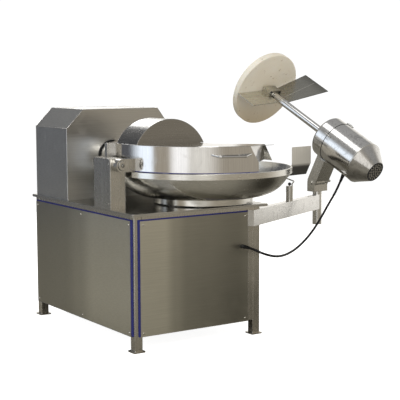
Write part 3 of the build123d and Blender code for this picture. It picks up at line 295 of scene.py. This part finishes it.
def painted(name, colour):
    """Painted castings: even enamel with a slight orange peel and rubbed patches."""
    material, tree, shader = new_material(name)
    where = object_coords(tree)
    patch = noise(tree, where, scale=9.0, detail=5.0, roughness=0.6)
    rubbed = tuple(c * RUBBED_SHARE for c in colour)
    tone = mix(tree, spread_over(tree, patch, low=0.45, high=0.75), colour, rubbed)
    tree.links.new(tone, shader.inputs["Base Color"])
    tree.links.new(spread_over(tree, patch, to_low=0.3, to_high=0.5), shader.inputs["Roughness"])
    peel = noise(tree, where, scale=420.0, detail=1.0)
    set_bump(tree, shader, strength=0.12, distance=0.0004, height=peel)
    return material


BRUSHING = make_brushing_group()
# how finely the brushing repeats along X, Y and Z: least along its lines
ALONG_X, ALONG_Z, FLAT_ALONG_X, AROUND_BOWL = (4, 30, 190), (190, 190, 4), (4, 150, 4), (30, 30, 260)
# Greys that the sheet's tone is multiplied by, fitted to one view. The scraper's direction
# is halved so that its stops fall between 0 and 1.
# painted reflection and painted shade on the panels: lighter toward the left front, darker toward the right and
# back
PANEL_PAINTED_LIGHT = ((1, 0.42, 0), [(0.0, 1.04), (0.15, 1.04), (0.23, 0.76), (0.31, 0.60), (0.44, 0.56),
                              (0.65, 0.47), (0.78, 0.62)])
# painted shade: the scraper's tone darkens toward the outer edge of its blade
SCRAPER_PAINTED_SHADE = (tuple(SIDE * 0.5), [(0.68, 0.85), (0.79, 0.8), (0.85, 0.42), (0.94, 0.40), (0.98, 0.26)])
# painted shadow: below z 0.95 the chute's tone is multiplied by 0.1, full above z 0.978
CHUTE_PAINTED_SHADOW = ((0, 0, 1), [(0.950, 0.10), (0.978, 1.0)])
SHELL_DARK, SHELL_LIGHT = (0.50, 0.49, 0.475), (0.68, 0.67, 0.655)
FINISH = {
    "stainless_brushed": steel("stainless_brushed", dark=(0.50, 0.49, 0.455), light=(0.64, 0.625, 0.59),
                               rough=0.27, spread=0.02, stretch=ALONG_Z, bump=0.006),
    "stainless_tube": steel("stainless_tube", dark=(0.50, 0.48, 0.43), light=(0.66, 0.63, 0.58),
                            rough=0.26, spread=0.02, stretch=ALONG_Z, bump=0.008),
    "stainless_panel": steel("stainless_panel", dark=(0.64, 0.62, 0.54), light=(0.71, 0.69, 0.605),
                             rough=0.30, spread=0.02, stretch=ALONG_X, bump=0.006, painted_light=PANEL_PAINTED_LIGHT),
    "stainless_polished": steel("stainless_polished", dark=(0.54, 0.53, 0.515), light=(0.66, 0.65, 0.635),
                                rough=0.13, spread=0.03, stretch=ALONG_Z, bump=0.012),
    "stainless_hood": steel("stainless_hood", dark=(0.48, 0.475, 0.455), light=(0.60, 0.59, 0.565),
                            rough=0.31, spread=0.015, stretch=ALONG_X, bump=0.004),
    "stainless_bowl": steel("stainless_bowl", dark=(0.58, 0.565, 0.52), light=(0.74, 0.725, 0.68),
                            rough=0.20, spread=0.05, stretch=AROUND_BOWL, bump=0.03),
    "blue_rubber": rubber("blue_rubber", (0.020, 0.024, 0.17), rough=0.5),
    "black_rubber": rubber("black_rubber", (0.003, 0.003, 0.0035), rough=0.6),
    "black_plastic": rubber("black_plastic", (0.015, 0.015, 0.016), rough=0.38, grain=500.0),
    "ivory_nylon": ivory_nylon(),
    "painted_drive": painted("painted_drive", (0.10, 0.13, 0.17)),
    "knife_steel": steel("knife_steel", dark=(0.55, 0.55, 0.55), light=(0.68, 0.68, 0.69),
                         rough=0.16, spread=0.04, stretch=ALONG_X, bump=0.03),
}
# nodes whose sheet is rolled, worn or stained otherwise than the rest of its kind; the chute and the scraper carry
# painted shade
OWN_FINISH = {
    "knife_guard": steel("drum_sheet", dark=(0.27, 0.265, 0.25), light=(0.36, 0.35, 0.335),
                         rough=0.23, spread=0.04, stretch=ALONG_X, bump=0.02),
    "table_top": steel("table_sheet", dark=(0.52, 0.51, 0.475), light=(0.66, 0.645, 0.61),
                       rough=0.20, spread=0.03, stretch=FLAT_ALONG_X, bump=0.008, mottle=0.3),
    "discharge_arm": steel("arm_tube", dark=(0.70, 0.69, 0.67), light=(0.84, 0.83, 0.81),
                           rough=0.24, spread=0.02, stretch=ALONG_X, bump=0.006, mottle=0.25),
    "discharge_chute": steel("chute_sheet", dark=(0.74, 0.71, 0.63), light=(0.82, 0.79, 0.72),
                             rough=0.42, spread=0.03, stretch=ALONG_Z, bump=0.02, painted_light=CHUTE_PAINTED_SHADOW, metal=0.4),
    "unit_motor": steel("motor_shell", dark=SHELL_DARK, light=SHELL_LIGHT,
                        rough=0.16, spread=0.04, stretch=ALONG_Z, bump=0.012, mottle=0.8),
    "unit_cap": steel("motor_shell_cap", dark=SHELL_DARK, light=SHELL_LIGHT,
                      rough=0.15, spread=0.04, stretch=ALONG_Z, bump=0.012, mottle=0.6),
    "scraper": steel("scraper_sheet", dark=(0.70, 0.68, 0.60), light=(0.84, 0.82, 0.74),
                     rough=0.27, spread=0.06, stretch=ALONG_X, bump=0.04, painted_light=SCRAPER_PAINTED_SHADE),
}


def dress_nodes():
    """Every CAD node gets its own finish, or else that of its material slot in the record."""
    for part in frame["record"]["subparts"]:
        node = frame["nodes"][part["node"]]
        finish = OWN_FINISH.get(part["node"], FINISH[part["material_slot"]])
        if not node.material_slots:
            node.data.materials.append(finish)
        for slot in node.material_slots:
            slot.material = finish


# ---- surfaces -----------------------------------------------------------------------------
WELD_DISTANCE, SHARP_FROM = 1e-6, radians(35)
FOLD_R, FINE_AROUND = 0.0013, 8


def surface(name, grids, body, slot):
    """One mesh from grids of points, each closed round its second parameter; poles and seams are
    merged and the faces turned outward."""
    faces, first = [], 0
    for rows, around, _ in (grid.shape for grid in grids):
        corner = first + np.arange((rows - 1) * around).reshape(rows - 1, around)
        beside = np.roll(corner, -1, axis=1)
        faces.append(np.stack([corner, beside, beside + around, corner + around], axis=-1).reshape(-1, 4))
        first += rows * around
    mesh = bpy.data.meshes.new(name)
    mesh.from_pydata(np.concatenate([grid.reshape(-1, 3) for grid in grids]), [], np.concatenate(faces))
    shell = bmesh.new()
    shell.from_mesh(mesh)
    bmesh.ops.remove_doubles(shell, verts=shell.verts, dist=WELD_DISTANCE)
    bmesh.ops.recalc_face_normals(shell, faces=shell.faces)
    shell.to_mesh(mesh)
    shell.free()
    mesh.shade_smooth()
    mesh.set_sharp_from_angle(angle=SHARP_FROM)
    mesh.materials.append(FINISH[slot])
    piece = bpy.data.objects.new(name, mesh)
    bpy.context.collection.objects.link(piece)
    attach(piece, body)
    return piece


def turned(profile, places, around=20):
    """Profiles of (radius, height) turned about an axis: the point is the place plus the height
    along the axis plus the radius at the angle of the second parameter."""
    radius, height = np.array(profile, float).T[:, :, None, None]
    angle = np.arange(around) * 2 * pi / around
    grids = []
    for origin, axis in places:
        axis = Vector(axis).normalized()
        across = axis.orthogonal().normalized()
        beyond = axis.cross(across)
        ring = np.cos(angle)[:, None] * np.array(across) + np.sin(angle)[:, None] * np.array(beyond)
        grids.append(np.array(origin) + height * np.array(axis) + radius * ring)
    return grids


def sleeve_round(path, radii, around):
    """A round skin carried along a path: each point is the path's point plus the radius there,
    turned about the path's direction; a row of nought radius closes each end."""
    path = np.concatenate([path[:1], path, path[-1:]])
    radii = np.concatenate([[0], radii, [0]])
    heading = np.gradient(path, axis=0)
    heading[0], heading[-1] = heading[1], heading[-2]
    heading /= np.linalg.norm(heading, axis=1)[:, None]
    steady = np.eye(3)[np.argmin(np.abs(heading).max(axis=0))]
    across = np.cross(heading, steady)
    across /= np.linalg.norm(across, axis=1)[:, None]
    beyond = np.cross(heading, across)
    angle = (np.arange(around) * 2 * pi / around)[None, :, None]
    ring = np.cos(angle) * across[:, None, :] + np.sin(angle) * beyond[:, None, :]
    return path[:, None, :] + radii[:, None, None] * ring


def bead(points, radius=FOLD_R):
    """A fine rounded fold or weld line from point to point, with eight steps to each run."""
    points = np.array(points, float)
    runs = len(points) - 1
    steps = np.linspace(0, runs, 8 * runs + 1)
    path = np.stack([np.interp(steps, np.arange(len(points)), points[:, axis]) for axis in range(3)], axis=1)
    return sleeve_round(path, np.full(len(path), radius), FINE_AROUND)


# ---- fold lines and screws ----------------------------------------------------------------
def add_cabinet_folds():
    """Fine rounded lines where the hood, the pedestal, the panels and the table's lip are folded:
    straight from corner to corner, each point the line's point plus the radius round it."""
    front, back, foot, shoulder, top = 0.777, 1.207, 0.782, 1.215, 1.328
    left, top_left, top_right, right = -0.022, 0.092, 0.620, 0.705
    outline = [(left, foot), (left, shoulder), (top_left, top), (top_right, top), (right, shoulder), (right, foot)]
    lines = [bead([(x, y, z) for x, z in outline]) for y in (front, back)]
    lines += [bead([(x, front, z), (x, back, z)]) for x, z in outline[1:-1]]
    pedestal_front, pedestal_top, pedestal_sides, pedestal_r = 0.202, 1.063, (-0.0425, 0.0525), 0.0010
    lines += [bead([(x, pedestal_front, foot), (x, pedestal_front, pedestal_top)], pedestal_r)
              for x in pedestal_sides]
    surface("hood_folds", lines, "cabinet", "stainless_polished")

    low, high, proud, panel_r = 0.0885, 0.7375, -0.0312, 0.0011
    near, front_end, left_end = 0.011, 0.744, 1.202
    edges = [[(front_end, proud, high), (front_end, proud, low), (near, proud, low)],
             [(proud, near, low), (proud, left_end, low), (proud, left_end, high)]]
    surface("panel_folds", [bead(edge, panel_r) for edge in edges], "cabinet", "stainless_polished")

    lip_proud, lip_z, lip_back, lip_right, lip_r = -0.0452, 0.7725, 1.232, 0.881, 0.0012
    lip = [(lip_proud, lip_back, lip_z), (lip_proud, lip_proud, lip_z), (lip_right, lip_proud, lip_z)]
    surface("table_lip", [bead(lip, lip_r)], "cabinet", "stainless_polished")


def add_lid_folds():
    """Fine rounded lines round the knife guard's two faces and the lid's top edge: each point of an
    edge is the centre plus the radius at an even step of the heading."""
    guard_x, guard_z, guard_r, guard_faces = 0.318, 1.035, 0.251, (0.1375, 0.3645)
    turn = np.linspace(radians(26), radians(154), 65)
    arcs = [np.stack([guard_x + guard_r * np.cos(turn), np.full(len(turn), y), guard_z + guard_r * np.sin(turn)],
                     axis=1) for y in guard_faces]
    lid_x, lid_y, lid_r, lid_z = 0.607, 0.238, 0.5295, 1.1445
    turn = np.linspace(radians(-75), radians(-242), 121)
    arcs.append(np.stack([lid_x + lid_r * np.cos(turn), lid_y + lid_r * np.sin(turn), np.full(len(turn), lid_z)],
                         axis=1))
    surface("lid_folds", [sleeve_round(arc, np.full(len(arc), FOLD_R), FINE_AROUND) for arc in arcs],
            "lid", "stainless_polished")


def add_screws():
    """Pan heads along the panels' edges and on the pedestal, socket heads on the scraper's clamp,
    and the socket of the hinge screw: a profile of (radius, height) turned about each axis."""
    pan_head = [(0, 0.0038), (0.0022, 0.0037), (0.0048, 0.0029), (0.0064, 0.0014), (0.0068, 0), (0, 0)]
    socket_head = [(0, 0.0035), (0.0028, 0.0035), (0.0030, 0.0065), (0.0056, 0.0065), (0.0062, 0.0058),
                   (0.0062, 0), (0, 0)]
    hexagon = [(0, 0), (0.0052, 0), (0.0052, 0.0008), (0, 0.0008)]
    leftward, forward, backward, rightward = (-1, 0, 0), (0, -1, 0), (0, 1, 0), (1, 0, 0)
    left_face, front_face, back_face, right_face, pedestal_face = -0.031, -0.031, 1.223, 0.839, -0.0425
    rows = (0.108, 0.716)
    heads = [((left_face, y, z), leftward) for y in (0.028, 0.590, 1.182) for z in rows]
    heads += [((x, front_face, z), forward) for x in (0.030, 0.722) for z in rows]
    heads += [((x, back_face, z), backward) for x in (0.030, 0.404, 0.778) for z in rows]
    heads += [((right_face, y, z), rightward) for y in (0.070, 0.610, 1.162) for z in rows]
    heads += [((pedestal_face, 0.222, z), leftward) for z in (0.815, 1.040)]
    surface("panel_screws", turned(pan_head, heads), "cabinet", "stainless_tube")
    clamp_face, clamp_x, clamp_y = 0.615, 0.038, 0.024
    sockets = [(on_unit(clamp_face, x, y), -AXIS) for x in (-clamp_x, clamp_x) for y in (-clamp_y, clamp_y)]
    surface("clamp_screws", turned(socket_head, sockets), "discharge_unit", "black_plastic")
    hinge_face = Vector((HINGE_X, 0.1285, HINGE_Z))
    surface("hinge_socket", turned(hexagon, [(hinge_face, forward)], around=6), "cabinet", "black_plastic")


def fourth_root(wave):
    """The fourth root of a wave's size, with the wave's sign."""
    return np.sign(wave) * np.abs(wave) ** 0.25


def add_corner_strip():
    """The cover strip between the right front leg and the right panel: a rounded oblong carried up.

    A point is the middle plus half the thickness times the fourth root of the cosine and half the
    width times that of the sine, drawn in at both ends."""
    middle_x, middle_y = 0.8363, 0.0258
    half_thick, half_wide = 0.0026, 0.0238
    foot, top, bevel, drawn_in = 0.088, 0.738, 0.002, 0.9
    around = 24
    turn = (np.arange(around) * 2 * pi / around)[None, :]
    share = np.array([0, drawn_in, 1, 1, drawn_in, 0])[:, None]
    height = np.array([foot, foot, foot + bevel, top - bevel, top, top])[:, None]
    strip = np.stack([middle_x + share * half_thick * fourth_root(np.cos(turn)),
                      middle_y + share * half_wide * fourth_root(np.sin(turn)),
                      height + 0 * turn], axis=-1)
    surface("right_corner_strip", [strip], "cabinet", "stainless_panel")


# ---- small pieces -------------------------------------------------------------------------
def add_motor_end():
    """The motor's perforated end: a dark grille inside the cone's rim, with rings of round holes,
    each a profile of (radius, height) turned about the unit's axis or the hole's."""
    end, plate_thick, hole_r = -0.386, 0.0016, 0.0052
    plate = [(0, plate_thick), (0.057, plate_thick), (0.0595, 0.0034), (0.0625, 0.0034), (0.0645, 0), (0, 0)]
    surface("motor_grille", turned(plate, [(on_unit(end, 0, 0), -AXIS)], around=64),
            "discharge_unit", "black_plastic")
    rings = [(0, 1), (0.018, 6), (0.035, 12), (0.050, 16)]  # a ring's radius and its number of holes
    holes = [(on_unit(end - plate_thick, radius * cos(2 * pi * k / count), radius * sin(2 * pi * k / count)), -AXIS)
             for radius, count in rings for k in range(count)]
    inner_r, crest_r, outer_r, crest = hole_r * 0.55, hole_r * 0.7, hole_r * 1.15, 0.0009
    rim = [(inner_r, 0), (crest_r, crest), (hole_r, crest), (outer_r, 0), (inner_r, 0)]
    surface("grille_holes", turned(rim, holes, around=12), "discharge_unit", "stainless_tube")


def add_scraper_trim():
    """A dark wiper along the right blade's outer edge, and the fold that stiffens the blade: each
    point is the edge's or the fold's point plus the radius round it."""
    wiper_x, wiper_y, wiper_r = 0.317, 0.1155, 0.0026
    tip = [on_unit(along, wiper_x, wiper_y) for along in (0.449, 0.684)]
    surface("scraper_wiper", [bead(tip, wiper_r)], "discharge_unit", "black_rubber")
    fold_along, blade_root, blade_slope, fold_proud, fold_r = 0.575, 0.050, 0.4323, 0.0032, 0.0022
    fold = [on_unit(fold_along, x, (x - blade_root) * blade_slope + fold_proud) for x in (0.060, 0.300)]
    surface("scraper_fold", [bead(fold, fold_r)], "discharge_unit", "stainless_hood")


def hoop(half_wide, half_flat, thick):
    """A band's profile on the motor's shell, closed on itself."""
    outer = MOTOR_R + thick
    return [(MOTOR_R, -half_wide), (outer, -half_flat), (outer, half_flat), (MOTOR_R, half_wide),
            (MOTOR_R, -half_wide)]


def add_motor_trim():
    """The seam ring between the motor and its cap, the band near its end, and the toggle latches.

    A latch bar's radius is the root of 1.02 less the sixth power of the place along it, which
    rounds its ends; place runs from -1 to 1."""
    seam_along, band_along = -0.023, -0.278
    seam = hoop(half_wide=0.0022, half_flat=0.0016, thick=0.0012)
    band = hoop(half_wide=0.006, half_flat=0.005, thick=0.0016)
    surface("motor_seam", turned(seam, [(on_unit(seam_along, 0, 0), AXIS)], around=96),
            "discharge_unit", "black_rubber")
    surface("motor_band", turned(band, [(on_unit(band_along, 0, 0), AXIS)], around=96),
            "discharge_unit", "stainless_brushed")
    place_along = np.linspace(-1, 1, 9)
    rounding = np.sqrt(np.clip(1.02 - place_along ** 6, 0.02, 1))
    bars = ((0.034, 0.0045, 0.0042), (0.018, 0.0085, 0.0030))  # half length, lift off the shell, radius
    grids = []
    for latch_deg in (62, 242, 152, 332):
        x, y = cos(radians(latch_deg)), sin(radians(latch_deg))
        for reach, lift, radius in bars:
            path = np.array([on_unit(seam_along + reach * s, x * (MOTOR_R + lift), y * (MOTOR_R + lift))
                             for s in place_along])
            grids.append(sleeve_round(path, radius * rounding, around=12))
    surface("motor_latches", grids, "discharge_unit", "stainless_brushed")


def add_hinge_rings():
    """Dark joint lines round the hinge boss and its pin: a circle's points at even steps."""
    boss, pin = (0.0275, 0.1425), (0.0102, 0.1345)  # a ring's radius and its y
    turn, line_r = np.linspace(0, 2 * pi, 73), 0.0012
    rings = [np.stack([HINGE_X + radius * np.cos(turn), np.full(len(turn), y), HINGE_Z + radius * np.sin(turn)],
                      axis=1) for radius, y in (boss, pin)]
    surface("hinge_rings", [sleeve_round(ring, np.full(len(ring), line_r), FINE_AROUND) for ring in rings],
            "lid", "black_rubber")


def add_stop_knob():
    """A round black knob over the stop tube's stem: the radius at each height is a circle's."""
    turn, radius, sunk = np.linspace(0, pi, 17), 0.0105, 0.008
    ball = np.stack([radius * np.sin(turn), -radius * np.cos(turn)], axis=1)
    low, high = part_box("stop_tube")
    centre = ((low[0] + high[0]) / 2, (low[1] + high[1]) / 2, high[2] - sunk)
    surface("stop_knob", turned(ball, [(centre, (0, 0, 1))], around=24), "cabinet", "black_plastic")


# ---- the cable ----------------------------------------------------------------------------
def reliefs(line):
    """Tapered ribbed sleeves round the cable's first and last 42 mm, thick at the glands: the radius
    shrinks evenly along the sleeve, with a sine's ribs that fade out."""
    length, thick_r, taper, rib, ribs = 0.042, 0.0108, 0.0028, 0.0005, 7
    grids = []
    for path in (line, line[::-1]):
        gone = np.concatenate([[0], np.cumsum(np.linalg.norm(np.diff(path, axis=0), axis=1))])
        at = np.linspace(0, length, 43)
        centre = np.stack([np.interp(at, gone, path[:, axis]) for axis in range(3)], axis=1)
        share = at / at[-1]
        radii = thick_r - taper * share + rib * np.sin(share * 2 * pi * ribs) * (1 - share)
        grids.append(sleeve_round(centre, radii, around=20))
    return (surface("relief_at_cabinet", grids[:1], "cabinet", "black_rubber"),
            surface("relief_at_motor", grids[1:], "cabinet", "black_rubber"))


def add_cable():
    """The motor's cable: one smooth NURBS line from the cabinet's gland to the motor's gland."""
    gland_gap, straight_out, straight_in = 0.0006, 0.064, 0.065
    end = on_unit(MOTOR_GLAND_ALONG, 0, -(MOTOR_R + GLAND_LENGTH + gland_gap))
    route = [
        (GLAND_X, GLAND_FACE_Y, GLAND_Z),
        (GLAND_X, GLAND_FACE_Y - straight_out, GLAND_Z),
        (0.740, -0.171, 0.512),
        (0.800, -0.185, 0.492),
        (0.872, -0.150, 0.478),
        (0.958, -0.092, 0.467),
        (1.050, -0.035, 0.466),
        (1.150, 0.018, 0.480),
        (1.250, 0.062, 0.515),
        (1.340, 0.096, 0.564),
        (1.425, 0.126, 0.630),
        (1.478, 0.147, 0.675),
        (1.534, 0.172, 0.718),
        (1.597, 0.197, 0.766),
        tuple(end - RISE * straight_in),
        tuple(end),
    ]
    data = bpy.data.curves.new("discharge_cable", "CURVE")
    data.dimensions = "3D"
    line = data.splines.new("NURBS")
    line.points.add(len(route) - 1)
    line.points.foreach_set("co", np.concatenate([route, np.ones((len(route), 1))], axis=1).ravel())
    line.order_u = 3
    line.use_endpoint_u = True
    data.resolution_u = 12
    cable = bpy.data.objects.new("discharge_cable", data)
    bpy.context.collection.objects.link(cable)
    traced = bpy.data.meshes.new_from_object(cable)
    points = np.empty(3 * len(traced.vertices))
    traced.vertices.foreach_get("co", points)
    sleeves = reliefs(points.reshape(-1, 3))
    data.bevel_depth = CABLE_R
    data.bevel_resolution = 6
    data.use_fill_caps = True
    data.materials.append(FINISH["black_rubber"])
    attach(cable, "cabinet")
    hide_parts("motor_cable")


# ---- floor and light ----------------------------------------------------------------------
SEEN_FLOOR, OLIVE_DARK, OLIVE_LIGHT = (0.86, 0.85, 0.83), (0.34, 0.32, 0.27), (0.40, 0.38, 0.325)
FLOOR_GLOW, FLOOR_REACH = 0.92, 6.0
FLOOR_PATCHES = [  # centre, radius and tone of what the steel sees brighter and darker
    ((-1.9, 0.1, 0), 1.5, (0.95, 0.94, 0.92)),
    ((1.9, -0.4, 0), 1.35, (0.06, 0.055, 0.043)),
]
GREY_WALL, WHITE_WALL, CURTAIN = (0.50, 0.45, 0.37), (1.15, 1.12, 1.06), (0.13, 0.135, 0.15)
WINDOW, BLUE_WINDOW = (1.6, 1.6, 1.62), (1.5, 1.65, 1.85)
# A studio fitted to the reflections that one view should have: what stands round the
# horizon, from and to which heading in degrees from the X axis, and its light.
ROOM = [
    ("grey_wall_left", -180, -170, GREY_WALL),
    ("window_left", -158, -146, WINDOW),
    ("white_wall_left", -138, -124, WHITE_WALL),
    ("grey_wall_front", -95, -45, GREY_WALL),
    ("white_wall_right", 5, 50, WHITE_WALL),
    ("curtain_back", 95, 126, CURTAIN),
    ("window_back", 155, 167, BLUE_WINDOW),
    ("grey_wall_corner", 174, 180, GREY_WALL),
]
CEILING = [(0.4, (0.30, 0.30, 0.295)), (0.75, (0.46, 0.46, 0.455)), (1.0, (0.50, 0.50, 0.50))]
WALL_TOP, CEILING_FROM = 0.38, 0.62  # sine of the height angle where the walls end and the ceiling begins
BACKDROP_WHITE = 1.05


def add_floor():
    """A pale floor: nearly white where it is seen, and an olive grey in the steel, with one bright
    and one dark patch."""
    material, tree, shader = new_material("studio_floor")
    shader.inputs["Roughness"].default_value = 0.9
    shader.inputs["Specular IOR Level"].default_value = 0.0
    cloud = noise(tree, object_coords(tree), scale=0.7, detail=2.0)
    ray = tree.nodes.new("ShaderNodeLightPath").outputs
    mirrored = ramp(tree, cloud, [(0.3, OLIVE_DARK), (0.7, OLIVE_LIGHT)])
    for centre, spread, tone in FLOOR_PATCHES:
        away = measure(tree, "DISTANCE", object_coords(tree), centre)
        mirrored = mix(tree, spread_over(tree, away, low=spread, high=0.3 * spread), mirrored, tone)
    tree.links.new(mix(tree, ray["Is Glossy Ray"], SEEN_FLOOR, mirrored), shader.inputs["Base Color"])
    glow = place(tree, "ShaderNodeEmission", Color=(1, 1, 1, 1), Strength=FLOOR_GLOW)
    lit = place(tree, "ShaderNodeAddShader", i0=glow.outputs[0], i1=shader.outputs[0])
    both = place(tree, "ShaderNodeMixShader", Fac=ray["Is Camera Ray"], i1=shader.outputs[0], i2=lit.outputs[0])
    tree.links.new(both.outputs[0], tree.nodes["Material Output"].inputs["Surface"])
    mesh = bpy.data.meshes.new("studio_floor")
    corners = [(-FLOOR_REACH, -FLOOR_REACH, 0), (FLOOR_REACH, -FLOOR_REACH, 0),
               (FLOOR_REACH, FLOOR_REACH, 0), (-FLOOR_REACH, FLOOR_REACH, 0)]
    mesh.from_pydata(corners, [], [(0, 1, 2, 3)])
    floor = bpy.data.objects.new("studio_floor", mesh)
    mesh.materials.append(material)
    bpy.context.collection.objects.link(floor)


def add_lamp(name, at, aim, size, watts):
    """A soft white area lamp at a place, aimed at another."""
    data = bpy.data.lights.new(name, "AREA")
    data.shape, data.size, data.size_y = "RECTANGLE", *size
    data.energy = watts
    lamp = bpy.data.objects.new(name, data)
    lamp.location = at
    lamp.rotation_euler = (Vector(aim) - Vector(at)).to_track_quat("-Z", "Y").to_euler()
    bpy.context.collection.objects.link(lamp)


def add_world():
    """White to the camera; a room with windows round the horizon and a soft ceiling to everything else."""
    world = bpy.data.worlds.new("studio")
    bpy.context.scene.world = world
    world.use_nodes = True
    tree = world.node_tree
    tree.nodes.clear()
    ray = tree.nodes.new("ShaderNodeLightPath").outputs
    direction = tree.nodes.new("ShaderNodeTexCoord").outputs["Generated"]
    axes = place(tree, "ShaderNodeSeparateXYZ", Vector=direction).outputs
    share = spread_over(tree, reckon(tree, "ARCTAN2", axes["Y"], axes["X"]), low=-pi, high=pi)
    edges = [((heading + 180) / 360, tone) for _, start, end, tone in ROOM for heading in (start, end)]
    walls = ramp(tree, share, edges, "EASE")
    ceiling = ramp(tree, axes["Z"], CEILING)
    room = mix(tree, spread_over(tree, axes["Z"], low=WALL_TOP, high=CEILING_FROM), walls, ceiling)
    shown = place(tree, "ShaderNodeBackground", Color=(1, 1, 1, 1), Strength=BACKDROP_WHITE)
    unseen = place(tree, "ShaderNodeBackground", Color=room, Strength=1.0)
    both = place(tree, "ShaderNodeMixShader", Fac=ray["Is Camera Ray"], i1=unseen.outputs[0], i2=shown.outputs[0])
    output = tree.nodes.new("ShaderNodeOutputWorld")
    tree.links.new(both.outputs[0], output.inputs["Surface"])


bpy.context.scene.view_settings.view_transform = "Standard"
add_camera()
dress_nodes()
add_cable()
add_screws()
add_corner_strip()
add_motor_end()
add_motor_trim()
add_scraper_trim()
add_hinge_rings()
add_stop_knob()
add_cabinet_folds()
add_lid_folds()
add_floor()
add_world()
add_lamp("ceiling_lamp", at=(0.2, 0.4, 4.6), aim=(0.9, 0.3, 0.9), size=(1.5, 1.5), watts=15)
add_lamp("front_lamp", at=(-1.6, -4.2, 4.2), aim=(0.8, 0.4, 0.8), size=(2.2, 1.6), watts=90)
add_lamp("back_lamp", at=(1.6, 4.0, 3.2), aim=(0.3, 0.3, 1.1), size=(1.5, 1.2), watts=24)
